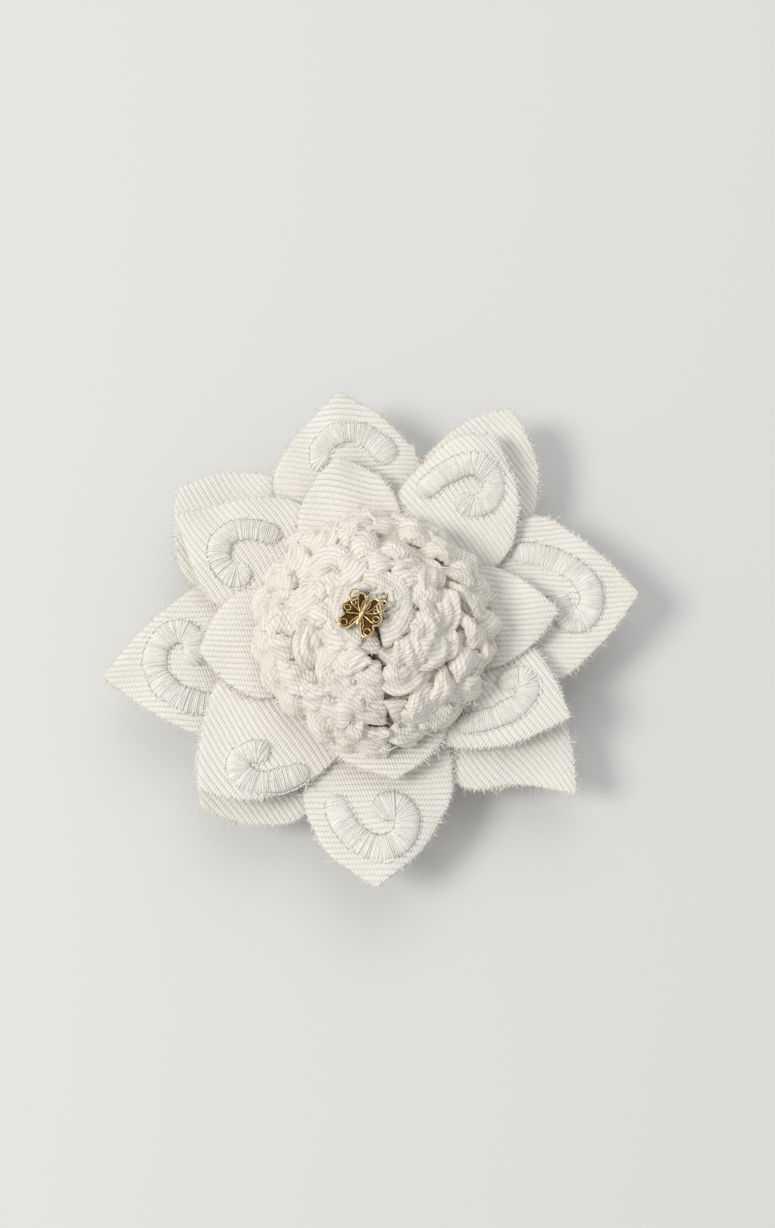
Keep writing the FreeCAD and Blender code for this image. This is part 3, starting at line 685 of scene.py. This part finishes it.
def scroll_mesh(scroll, height, seed):
    """A padded satin-stitch scroll: a filling, threads laid across it and an outline stitch."""
    draw = np.random.default_rng(seed)
    line, width, aside = band_path(scroll)
    tall = BAND_HIGH * np.clip(width / scroll[0], 0.35, 1.05)
    share = np.linspace(-1, 1, 15)
    plan = line[:, None] + (share * width[:, None])[..., None] * aside[:, None]
    centre_base = surface_under(height, line[:, 0], line[:, 1])[:, None]
    base = 0.5 * surface_under(height, plan[..., 0], plan[..., 1]) + 0.5 * centre_base
    top = np.concatenate([plan, (base + arch(share, 1.0) * tall[:, None])[..., None]], axis=-1)
    low = np.concatenate([plan[:, ::-1], (base[:, ::-1] - 0.25)[..., None]], axis=-1)
    core = np.concatenate([top, low], axis=1)
    filling = (core.reshape(-1, 3), capped_faces(*core.shape[:2]))

    rows = np.arange(0, len(line), 2)
    count = len(rows)
    slant = draw.normal(0, 0.13, count)[:, None]
    over = np.linspace(-1, 1, 13)
    reach = (width[rows] + draw.normal(0.05, 0.06, count))[:, None]
    tangent = np.column_stack([aside[rows, 1], -aside[rows, 0]])
    plan = (line[rows][:, None] + (over * reach)[..., None] * aside[rows][:, None]
            + (slant * over)[..., None] * tangent[:, None])
    lift = (tall[rows] + draw.normal(0, 0.09, count))[:, None]
    ground = 0.5 * surface_under(height, plan[..., 0], plan[..., 1]) + 0.5 * centre_base[rows]
    z = ground + arch(over * 0.97, 1.0) * lift + 0.02 - 0.1 * np.abs(over) ** 8
    thread = STITCH * (1 + draw.normal(0, 0.14, count))[:, None]
    parts = [filling, tubes(np.concatenate([plan, z[..., None]], axis=-1), thread)]

    bead = np.linspace(0.05, 0.92, 5)
    hump = 0.12 * np.sin(math.pi * np.linspace(0, 1, 5))
    for sign in (-1, 1):
        outline = even_spacing(line + (sign * (width + 0.34))[:, None] * aside, 0.9)
        step = np.diff(outline, axis=0)
        plan = outline[:-1, None] + bead[:, None] * step[:, None]
        plan = plan + draw.normal(0, 0.09, (len(step), 1, 2))
        z = surface_under(height, plan[..., 0], plan[..., 1]) + hump
        parts.append(tubes(np.concatenate([plan, z[..., None]], axis=-1), 0.17))

    count = 750
    picks = draw.integers(0, len(line), count)
    spot = draw.uniform(-1, 1, count)
    start = np.column_stack([line[picks] + (spot * width[picks])[:, None] * aside[picks],
                             centre_base[picks, 0] + arch(spot, 1.0) * tall[picks]])
    way = unit(draw.normal(0, 1, (count, 3)) + [0, 0, 0.7])
    parts.append(hairs(start, way, draw.gamma(2.0, 0.26, count),
                       draw.normal(0, 0.35, (count, 3)), 0.022))
    return joined(parts)


def scroll_heights(scroll, height):
    """Raise the pile over a scroll's band."""
    line, width, _ = band_path(scroll)
    tree = nearest_tree(line)
    low, high = line.min(axis=0) - 4, line.max(axis=0) + 4
    near = (pile.x > low[0]) & (pile.x < high[0]) & (pile.y > low[1]) & (pile.y < high[1])
    x, y = pile.x[near], pile.y[near]
    found = [tree.find((a, b, 0)) for a, b in zip(x, y)]
    share = np.array([hit[2] / (width[hit[1]] + 0.15) for hit in found])
    covered = share < 1
    top = surface_under(height, x[covered], y[covered]) + arch(share[covered], BAND_HIGH)
    pile.raise_to(tuple(np.argwhere(near)[covered].T), top + STITCH + 0.1)


# ---------------------------------------------------------------- laying the petals

def lay_petals():
    """Lay the four cut layers on one another, each with its scrolls."""
    below = None
    for seed, (name, layer) in enumerate(LAYERS.items(), 101):
        loop = layer_outline(layer)
        height = layer_height(name, below)
        points, faces, weave = ribbed_sheet(loop, layer["ribs"], height)
        edging = mesh_piece(name + "_fray", *fringe_mesh(loop, height, seed), YARN, "petal_twill")
        cloth = mesh_piece(name + "_cloth", points, faces, TWILL, "petal_twill", name, weave)
        flat = np.column_stack([pile.x.ravel(), pile.y.ravel()])
        near = np.abs(flat).max(axis=1) < np.abs(loop).max() + 1
        covered = np.zeros(len(flat), bool)
        covered[near] = inside(flat[near], loop)
        covered = covered.reshape(pile.x.shape)
        pile.raise_to(covered, height(pile.x[covered], pile.y[covered]) + CLOTH / 2)
        for number, (scroll_name, scroll) in enumerate(SCROLLS.get(name, {}).items()):
            mesh_piece(scroll_name + "_embroidery",
                       *scroll_mesh(scroll, height, 200 + 10 * seed + number), THREAD,
                       "embroidery_thread", scroll_name)
            scroll_heights(scroll, height)
        widened = pile.spread(0.75)
        below = np.maximum(blurred(widened, 3), widened - 0.3)


lay_petals()


# ---------------------------------------------------------------- rosette

ROSETTE = np.array([0.6, -1.6])     # its middle
SEAM = math.radians(-82)    # where the coil's rounds start and end
BUD_HIGH = 31.2
LOBE_HALF = 3.15            # half a strand's width
LOBE_THICK = 1.5            # half its thickness
PLAIT_PERIOD = 19.6         # the length in which a strand crosses over and comes back
PLAIT_SIDE = 3.0            # how far strands swing to the sides
PLAIT_LIFT = 1.3            # and how far up and down
RIB = 0.98                  # spacing of the ribs along a strand
RIB_HIGH = 0.15
STRIP_SIDES = 64            # points round a strand


def dome_frames(angle, radius, middle, tilt):
    """Points along a round of the coil, with the outward side and the surface normal at each."""
    out = np.stack([np.cos(angle), np.sin(angle), np.zeros_like(angle)], axis=-1)
    centre = np.column_stack([ROSETTE + radius[:, None] * out[:, :2], middle])
    up = np.array([0, 0, 1.0])
    normal = math.cos(tilt) * up + math.sin(tilt) * out
    side = math.cos(tilt) * out - math.sin(tilt) * up
    return centre, side, normal


def strip_mesh(line, normal, half, thick, seed):
    """A folded cloth strip with the twill's ribs running along it, and its weave places."""
    tangent = unit(np.gradient(line, axis=0))
    side = unit(np.cross(tangent, normal))
    lift = np.cross(side, tangent)
    turn = np.linspace(0, TURN, STRIP_SIDES, endpoint=False)
    across = np.sign(np.cos(turn)) * np.abs(np.cos(turn)) ** 0.72
    up = np.sign(np.sin(turn)) * np.abs(np.sin(turn)) ** 0.62
    run = run_lengths(line)[:, None]
    section = np.stack([across * half[:, None], up * thick[:, None]], axis=-1)
    step = np.linalg.norm(np.roll(section, -1, axis=1) - section, axis=2)
    around = np.cumsum(step, axis=1) - step / 2
    place = (around + 0.25 * run + 0.3 * wobble(seed, 7, run)) / RIB
    length = np.broadcast_to(run, place.shape)
    lumps = 0.27 * wobble(seed + 1, 4.2, length, 1.6 * around)
    crease = 0.22 * wobble(seed + 2, 2.4, 1.5 * length, around)
    swell = RIB_HIGH * rib_profile(place) + lumps + crease
    section = section + swell[..., None] * unit(np.stack([across / 2.0, up], axis=-1))
    points = line[:, None] + section[..., :1] * side[:, None] + section[..., 1:] * lift[:, None]
    weave = np.stack([place, length, np.ones_like(place)], axis=-1)
    return points.reshape(-1, 3), capped_faces(len(line), STRIP_SIDES), weave.reshape(-1, 3)


def plait_lines(centre, side, normal, seed):
    """The three strands of a plaited round: each as a line with normals and widths."""
    run = run_lengths(centre)
    strands = []
    for strand in range(3):
        turn = TURN * (run / PLAIT_PERIOD + strand / 3) + 0.22 * wobble(seed + strand, 12, run)
        lateral = PLAIT_SIDE * np.sin(turn) + 0.38 * wobble(seed + 5 + strand, 6, run)
        raised = PLAIT_LIFT * np.sin(2 * turn) + 0.30 * wobble(seed + 9 + strand, 7, run)
        line = centre + lateral[:, None] * side + raised[:, None] * normal
        tip = 0.5 * wobble(seed + 13 + strand, 8, run) + 0.10 * np.sin(turn)
        half = LOBE_HALF * (1 + 0.09 * wobble(seed + 17 + strand, 7, run))
        thick = LOBE_THICK * (1 + 0.08 * wobble(seed + 21 + strand, 6, run))
        strands.append((line, unit(normal + tip[:, None] * side), half, thick))
    return strands


def frayed_threads(strands, count, seed, long):
    """Loose ends pulled from the strips' edges, some of them looped back."""
    draw = np.random.default_rng(seed)
    share = np.linspace(0, 1, 9)[:, None]
    lines = []
    for _ in range(count):
        line, normal, half, thick = strands[draw.integers(len(strands))]
        at = int(draw.integers(2, len(line) - 2))
        up = normal[at]
        tangent = unit(line[at + 1] - line[at - 1])
        side = np.cross(tangent, up) * draw.choice([-1, 1])
        start = line[at] + side * half[at] * draw.uniform(0.5, 1.0) + up * thick[at] * 0.6
        length = long * min(draw.gamma(2.2, 1.1), 4.6)
        way = unit(side * draw.uniform(0.2, 1) + tangent * draw.normal(0, 0.9)
                   + up * draw.uniform(0.2, 0.8))
        bend = unit(draw.normal(0, 1, 3) - up * 1.4) * draw.uniform(0.5, 1.5)
        lines.append(start + length * (share * way + share ** 2 * bend)
                     + 0.3 * np.sin(share * draw.uniform(4, 12)) * side
                     + 0.25 * np.sin(share * draw.uniform(3, 9)) * up)
    radius = draw.uniform(0.05, 0.15, (count, 1)) * (1 - 0.4 * share[:, 0] ** 2)
    return tubes(lines, radius, sides=4)


def strips_piece(name, strands, seed, threads, node, long=1.0):
    """Cloth strips as one piece, with their loose threads as another."""
    parts = [strip_mesh(*strand, seed + 3 * number) for number, strand in enumerate(strands)]
    points, faces = joined([part[:2] for part in parts])
    mesh_piece(name, points, faces, ROSETTE_CLOTH, "rosette_cotton", node,
               np.vstack([part[2] for part in parts]))
    mesh_piece(name + "_threads", *frayed_threads(strands, threads, seed + 50, long),
               ROSETTE_YARN, "rosette_cotton")


def respaced(line, normal, half, thick, step=0.55):
    """A strand sampled again at even spacing."""
    spaced = even_spacing(np.column_stack([line, normal, half, thick]), step)
    return spaced[:, :3], unit(spaced[:, 3:6]), spaced[:, 6], spaced[:, 7]


def fold_block():
    """The plait's folded end: short flat folds stacked down the dome, left of the seam."""
    strands = []
    draw = np.random.default_rng(55)
    share = np.linspace(-1, 1, 26)
    # Each fold: its distance out, its height and how far it leans outward.
    rows = ((7.4, 30.6, 0.16), (11.6, 29.8, 0.26), (15.6, 27.6, 0.55), (19.3, 24.6, 0.85),
            (22.2, 20.9, 1.05), (24.0, 17.6, 1.25))
    for number, (radius, middle, tilt) in enumerate(rows):
        wide = draw.uniform(5.2, 6.4)
        angle = np.linspace(SEAM - 2 * wide / radius - 0.02, SEAM - 0.03, len(share))
        radius = radius + draw.normal(0, 0.5) * share + 0.2 * wobble(70 + number, 5, share * 5)
        centre, _, normal = dome_frames(angle, radius, middle - 0.5 * np.abs(share) ** 4, tilt)
        half = 2.5 * (1 + 0.1 * wobble(80 + number, 5, share * 5))
        thick = 1.3 * (1 - 0.25 * np.abs(share) ** 6)
        strands.append(respaced(centre, normal, half, thick))
    strips_piece("rosette_folded_end", strands, 90, 60, "rosette_end_wrap", 0.8)


def coil_round(name, node, turns, radii, heights, tilt, seed, threads):
    """One plaited round of the coil, from the seam all the way round. Its radius and height are
    given at its start and at its end."""
    count = int(turns * TURN * 20 / 0.45)
    angle = SEAM + 0.03 + np.linspace(0, 1, count) * turns * TURN
    frames = dome_frames(angle, np.linspace(*radii, count), np.linspace(*heights, count), tilt)
    strands = [respaced(*strand) for strand in plait_lines(*frames, seed)]
    strips_piece(name, strands, seed + 30, threads, node)


def make_bud():
    """The strip rolled up in the middle of the coil, and the smooth strip round it."""
    centre = ROSETTE + np.array([1.9, 1.5])
    turn = np.linspace(0.4, TURN * 2.4, 170)
    radius = 0.6 + 3.3 * turn / turn[-1]
    line = np.column_stack([centre[0] + radius * np.cos(turn), centre[1] + radius * np.sin(turn),
                            BUD_HIGH - 0.22 * radius + 0.2 * wobble(501, 6, turn)])
    out = np.column_stack([np.cos(turn), np.sin(turn), np.full_like(turn, 0.25)])
    roll = respaced(line, unit(out), 2.3 + 0 * turn, 0.62 + 0 * turn, 0.4)
    angle = np.linspace(SEAM + 0.1, SEAM + TURN * 0.93, 120)
    ring, _, normal = dome_frames(angle, 5.6 + 0.3 * wobble(502, 3, angle),
                                  BUD_HIGH + 0.25 * wobble(503, 3, angle), 0.1)
    wrap = respaced(ring, normal, 2.3 + 0.15 * wobble(504, 3, angle), 1.5 + 0 * angle)
    strips_piece("rosette_roll", [roll, wrap], 520, 26, "rosette_bud", 0.7)


def circle_loop(centre, radius, step, seed, ragged):
    """A round cut edge that strays a little from a circle."""
    turn = np.linspace(0, TURN, int(TURN * radius / step), endpoint=False)
    edge = radius + ragged * wobble(seed, 5, radius * np.cos(turn), radius * np.sin(turn))
    return np.column_stack([centre[0] + edge * np.cos(turn), centre[1] + edge * np.sin(turn)])


def make_rosette(below):
    """The coiled plait, the round of cloth it is sewn to and the wad inside it, coloured dark as
    painted shade in the plait's gaps.
    """
    coil_round("rosette_outer_braid", "rosette_outer_plait", 0.955, (20.3, 19.9), (21.6, 22.3),
               0.92, 300, 420)
    coil_round("rosette_inner_braid", "rosette_inner_plait", 0.93, (11.3, 10.9), (28.0, 28.3),
               0.44, 400, 240)
    fold_block()
    make_bud()

    def ground_height(x, y):
        floor = node_box("rosette_disc")[0][2] + CLOTH / 2
        return np.maximum(pile.sample(below, x, y) + CLOTH / 2 + 0.15, floor)
    loop = circle_loop(ROSETTE, 22.0, EDGE_STEP, 601, 0.5)
    points, faces, weave = ribbed_sheet(loop, 30.0, ground_height)
    fray = mesh_piece("rosette_ground_fray", *fringe_mesh(loop, ground_height, 602), ROSETTE_YARN,
                      "rosette_cotton")
    ground = mesh_piece("rosette_ground", points, faces, ROSETTE_CLOTH, "rosette_cotton",
                        "rosette_disc", weave)

    # The wad, dark with painted shade, fills the coil under the plait.
    slope, turn = ball_grid(26, 72)
    swell = 1 + 0.05 * wobble(610, 1.2, 2 * np.sin(slope) * np.cos(turn),
                              2 * np.sin(slope) * np.sin(turn), 2 * np.cos(slope))
    wad = ball_mesh(ROSETTE, 18.5 * np.sin(slope) ** 0.75 * swell, turn,
                    22.5 + 6.1 * np.cos(slope) * swell)
    core = mesh_piece("rosette_wad", *wad, WAD_PAINTED_SHADE, "rosette_cotton", "rosette_core")


# ---------------------------------------------------------------- butterfly charm

CHARM_PLACE = np.array([-1.7, -3.6, 33.9])
CHARM_TURN = math.radians(-24)
CHARM_SCALE = 0.9
CAST_STEP = 0.14            # between points along its curves

# The butterfly's right half, before it is scaled and turned.
WING = ((0.25, 1.0), (0.35, 3.0), (1.0, 4.3), (2.1, 4.3), (2.7, 3.5), (3.5, 2.3), (3.8, 1.5),
        (4.4, 0.6), (4.1, -0.8), (3.3, -1.3), (3.8, -2.4), (3.4, -3.8), (2.2, -4.2), (1.2, -3.2),
        (0.5, -1.5), (0.2, 0.0))
OPEN_LOOP = ((2.2, 3.0), (2.5, 4.3), (3.3, 4.8), (4.0, 4.2), (4.0, 2.9), (3.2, 2.0))
WING_RINGS = ((3.3, 0.3, 0.7, 0.6), (2.7, -3.0, 0.75, 0.75), (2.5, 1.9, 0.45, 0.4))
VEINS = (((0.5, 0.8), (1.2, 1.4), (1.8, 2.4), (1.9, 3.1)),
         ((0.5, 0.6), (1.6, 1.0), (2.6, 1.3), (3.4, 2.0)),
         ((0.5, 0.1), (1.5, -0.2), (2.4, -0.6), (3.2, -0.7)),
         ((0.5, -0.4), (1.3, -1.9), (1.5, -2.9)),
         ((0.6, 1.2), (0.8, 2.2), (0.8, 3.2)))
FEELER = ((0.1, 2.2), (0.35, 3.2), (0.3, 4.0), (0.6, 4.5))


def closed_curve(points):
    return spline([*points, points[0]], CAST_STEP)[:-1, :2]


def flat_plate(loop, low, high):
    """A thin plate with a softly bevelled edge."""
    middle = loop.mean(axis=0)
    inner = middle + (loop - middle) * 0.93
    rings = [(loop, low), (loop, high - 0.08), (inner, high)]
    points = np.vstack([np.column_stack([ring, np.full(len(ring), z)]) for ring, z in rings])
    return points, capped_faces(len(rings), len(loop))


def rim_tube(line, z, radius, closed=True):
    if closed:
        line = np.vstack([line, line[:2]])
    return tubes(np.column_stack([line, np.full(len(line), z)])[None], radius, sides=10)


def charm_metal(parts, name, material):
    """Put a group of the butterfly's parts in place, with the wings bent up."""
    points, faces = joined(parts)
    x, y, z = (points * CHARM_SCALE).T
    cos, sin = math.cos(CHARM_TURN), math.sin(CHARM_TURN)
    placed = np.column_stack([x * cos - y * sin, x * sin + y * cos, z + 0.16 * np.abs(x)])
    mesh_piece(name, placed + CHARM_PLACE, faces, material, "charm_metal", "butterfly_charm")


def make_charm():
    """A cast butterfly: dark recessed wings inside polished rims, open loops at the wing tips."""
    bright, dark = [], []
    around = np.linspace(0, TURN, 28, endpoint=False)
    for sign in (1, -1):
        flip = np.array([sign, 1.0])
        loop = closed_curve(WING) * flip
        dark.append(flat_plate(loop[::-1] if sign > 0 else loop, -0.3, 0.05))
        bright.append(rim_tube(loop, 0.1, 0.25))
        bright.append(rim_tube(closed_curve(OPEN_LOOP) * flip, 0.16, 0.24))
        for x, y, wide, tall in WING_RINGS:
            ring = np.column_stack([x + wide * np.cos(around), y + tall * np.sin(around)])
            bright.append(rim_tube(ring * flip, 0.1, 0.13))
        for curve, z, radius in [(vein, 0.12, 0.13) for vein in VEINS] + [(FEELER, 0.32, 0.14)]:
            line = spline(curve, CAST_STEP)[:, :2] * flip
            bright.append(rim_tube(line, z, radius, closed=False))
    run = np.linspace(-2.4, 2.5, 40)
    body = np.column_stack([0 * run, run, 0.38 - 0.02 * run ** 2])
    girth = 0.55 * np.sqrt(np.clip(1 - ((run - 0.05) / 2.5) ** 2, 0.02, 1))
    girth = girth * (1 + 0.14 * np.cos(run * 5.0)) + 0.08 * np.exp(-((run - 2.0) / 0.35) ** 2)
    bright.append(tubes(body[None], girth[None], sides=16))
    charm_metal(bright, "butterfly_rims", GOLD)
    charm_metal(dark, "butterfly_recesses", DARK_GOLD)


def make_glue():
    """The dot of clear glue under the butterfly."""
    slope, turn = ball_grid(12, 28)
    edge = 1.9 * (1 + 0.08 * np.cos(3 * turn + 1) + 0.05 * np.cos(5 * turn))
    glue = Surface("glue")
    cloudy = glue.mix(glue.noise(600.0), (0.75, 0.72, 0.64), (0.85, 0.83, 0.77))
    glue.links.new(cloudy, glue.shader.inputs["Base Color"])
    glue.shader.inputs["Roughness"].default_value = 0.18
    drop = ball_mesh(CHARM_PLACE[:2] + 0.8, edge * np.sin(slope), turn, 32.7 + 0.9 * np.cos(slope))
    mesh_piece("glue_dot", *drop, glue.material, "clear_glue", "charm_glue")


# ---------------------------------------------------------------- felt, keepers and clip

def make_felt():
    """The felt round under the petals, with fuzz round its edge."""
    low, high = node_box("felt_backing")
    loop = circle_loop((low[:2] + high[:2]) / 2, (high[0] - low[0]) / 2, 0.5, 701, 0.18)
    reach = np.abs(loop).max()
    line = np.arange(-reach, reach, 0.7)
    x, y = np.meshgrid(line, line, indexing="ij")
    x = x + (np.arange(len(line)) % 2)[None, :] * 0.35
    points = np.column_stack([x.ravel(), y.ravel()])
    points = points[inside(points, loop)]
    flat, faces, rim = triangulated(loop, points[edge_distance(points, loop) > 0.3])
    near = 0.35 * (1 - smooth_step(edge_distance(flat, loop), 0, 1.0))
    lumps = 0.06 * wobble(702, 3.5, flat[:, 0], flat[:, 1])
    felt = mesh_piece("felt_round", *closed_sheet(flat, faces, rim, high[2] - near + lumps - 0.05,
                                                  low[2] + near + 0.05 + lumps),
                      FELT, "felt", "felt_backing")
    draw = np.random.default_rng(703)
    count = 700
    picks = draw.integers(0, len(loop), count)
    outward = unit(loop[picks] - loop.mean(axis=0))
    start = np.column_stack([loop[picks] - 0.2 * outward,
                             draw.uniform(low[2] + 0.3, high[2] - 0.3, count)])
    way = unit(np.column_stack([outward, draw.normal(0, 0.4, count)])
               + draw.normal(0, 0.6, (count, 3)))
    fuzz = mesh_piece("felt_fuzz", *hairs(start, way, draw.gamma(2.0, 0.28, count),
                                          draw.normal(0, 0.4, (count, 3)), 0.03), FELT, "felt")


def make_keeper(node):
    """A strip of cloth over the clip's plate, sewn down to the felt at both ends."""
    low, high = node_box(node)
    middle, half = (low[0] + high[0]) / 2, (high[0] - low[0]) / 2
    plate_half = 4.9
    rows, columns = 60, 34
    x, y = np.meshgrid(np.linspace(low[0], high[0], rows), np.linspace(low[1], high[1], columns),
                       indexing="ij")
    drop = 1 - smooth_step(np.abs(y), plate_half - 0.4, plate_half + 1.2)
    outer = high[2] - 0.72 - (high[2] - 0.72 - low[2]) * drop
    place = (x * 0.8 + y * 0.6) / WALE
    edge = 0.1 * smooth_step(np.abs(x - middle), half - 0.7, half)
    faces_at = (outer - 0.07 * rib_profile(place) + edge, outer + 0.55 - edge)
    points = np.vstack([np.stack([x, y, z], axis=-1).reshape(-1, 3) for z in faces_at])
    size = rows * columns
    quads = grid_faces(rows, columns)
    rim = np.concatenate([np.arange(columns), np.arange(1, rows) * columns + columns - 1,
                          (rows - 1) * columns + np.arange(columns - 2, -1, -1),
                          np.arange(rows - 2, 0, -1) * columns])
    after = np.roll(rim, -1)
    sides = np.column_stack([rim, after, after + size, rim + size])
    weave = np.stack([place, y, np.ones_like(place)], axis=-1).reshape(-1, 3)
    mesh_piece(node + "_strip", points, np.vstack([quads[:, ::-1], quads + size, sides]).tolist(),
               KEEPER, "keeper_cloth", node, np.vstack([weave, weave]))


def make_stitches():
    """Overcast stitches along the keepers' sewn ends."""
    lines = []
    draw = np.random.default_rng(801)
    share = np.linspace(0, 1, 9)
    for node in ("clip_front_keeper", "clip_rear_keeper"):
        low, high = node_box(node)
        for x in np.arange(low[0] + 0.9, high[0] - 0.5, 1.25):
            for sign in (-1, 1):
                lean = draw.normal(0, 0.15)
                y = sign * (7.0 + 1.95 * share)
                z = high[2] - 0.55 - 0.28 * np.sin(math.pi * share) ** 0.7 + 0.35 * share ** 3
                lines.append(np.column_stack([x + (0.5 + lean) * share, y, z]))
    mesh_piece("keeper_thread", *tubes(lines, 0.2, sides=8), SEWING, "sewing_thread",
               "keeper_stitches")


def make_spring():
    """The torsion coil round the rivet, whose lower leg follows the jaw."""
    pin_x, pin_z = 8.0, 5.6
    mean, turns, half_width = 1.5, 4.5, 1.8
    angle = np.linspace(TURN / 4, TURN / 4 - turns * TURN, 240)
    coil = np.column_stack([pin_x + mean * np.cos(angle),
                            np.linspace(half_width, -half_width, len(angle)),
                            pin_z + mean * np.sin(angle)])
    reach = np.linspace(10.0, 0.2, 26)
    upper = np.column_stack([pin_x + reach, np.full(26, half_width), 7.1 + 0.06 * reach])
    lower = np.column_stack([pin_x + reach, np.full(26, -half_width), 4.1 - 0.13 * reach])[::-1]
    line = even_spacing(np.vstack([upper, coil, lower]), 0.2)
    spring = new_object("spring_coil", *tubes(line[None], 0.35, sides=12), WIRE)
    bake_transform(spring)
    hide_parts("clip_spring")


def finish_steel():
    """The clip's own parts keep their CAD shapes and get worked metal."""
    for node in ("clip_upper_arm", "clip_lower_arm", "clip_hinge_pin"):
        materials = bpy.data.objects[node].data.materials
        for index in range(len(materials)):
            materials[index] = STEEL
        if not len(materials):
            materials.append(STEEL)


make_rosette(blurred(pile.spread(0.5), 2))
make_charm()
make_glue()
make_felt()
make_keeper("clip_front_keeper")
make_keeper("clip_rear_keeper")
make_stitches()
make_spring()
finish_steel()


# ---------------------------------------------------------------- stage, light and camera

def make_stage():
    """A wide matt table top."""
    paint = Surface("floor_paint")
    paint.feed(paint.shader.inputs["Base Color"], (0.74, 0.74, 0.725))
    paint.feed(paint.shader.inputs["Roughness"], 0.55)
    half = 1.5 / MM
    corners = [(-half, -half, 0), (half, -half, 0), (half, half, 0), (-half, half, 0)]
    new_object("floor", corners, [(0, 1, 2, 3)], paint.material)


def area_light(name, place, target, size, power, colour=(1, 1, 1)):
    data = bpy.data.lights.new(name, "AREA")
    data.shape = "DISK"
    data.size = size
    data.energy = power
    data.color = colour
    light = bpy.data.objects.new(name, data)
    light.location = place
    light.rotation_euler = (Vector(target) - Vector(place)).to_track_quat("-Z", "Y").to_euler()
    bpy.context.scene.collection.objects.link(light)


def make_light():
    world = bpy.data.worlds.new("studio")
    world.use_nodes = True
    sky = world.node_tree.nodes["Background"].inputs
    sky["Color"].default_value = (0.98, 0.985, 1.0, 1)
    sky["Strength"].default_value = 0.54
    bpy.context.scene.world = world
    area_light("key", (-0.86, -0.16, 1.02), (0.02, 0.06, 0.01), 0.50, 8.6, (1.0, 0.985, 0.95))
    area_light("back", (0.10, 0.86, 1.00), (0.02, 0.30, 0), 1.20, 3.4, (1.0, 0.995, 0.98))
    bpy.context.scene.view_settings.view_transform = "Standard"


def make_camera():
    """Looks down at the flower from its near side, as close as a hand-held phone."""
    elevation = math.radians(73)
    distance = 0.300
    view_width = 0.1612
    aim = Vector((0.0033, 0.0040, 0.010))
    data = bpy.data.cameras.new("camera")
    data.sensor_fit = "HORIZONTAL"
    data.sensor_width = 36
    data.lens = data.sensor_width * distance / view_width
    data.clip_start = 0.01
    camera = bpy.data.objects.new("camera", data)
    back = Vector((0, -math.cos(elevation), math.sin(elevation)))
    camera.location = aim + back * distance
    camera.rotation_euler = (-back).to_track_quat("-Z", "Y").to_euler()
    bpy.context.scene.collection.objects.link(camera)
    bpy.context.scene.camera = camera


make_stage()
make_light()
make_camera()
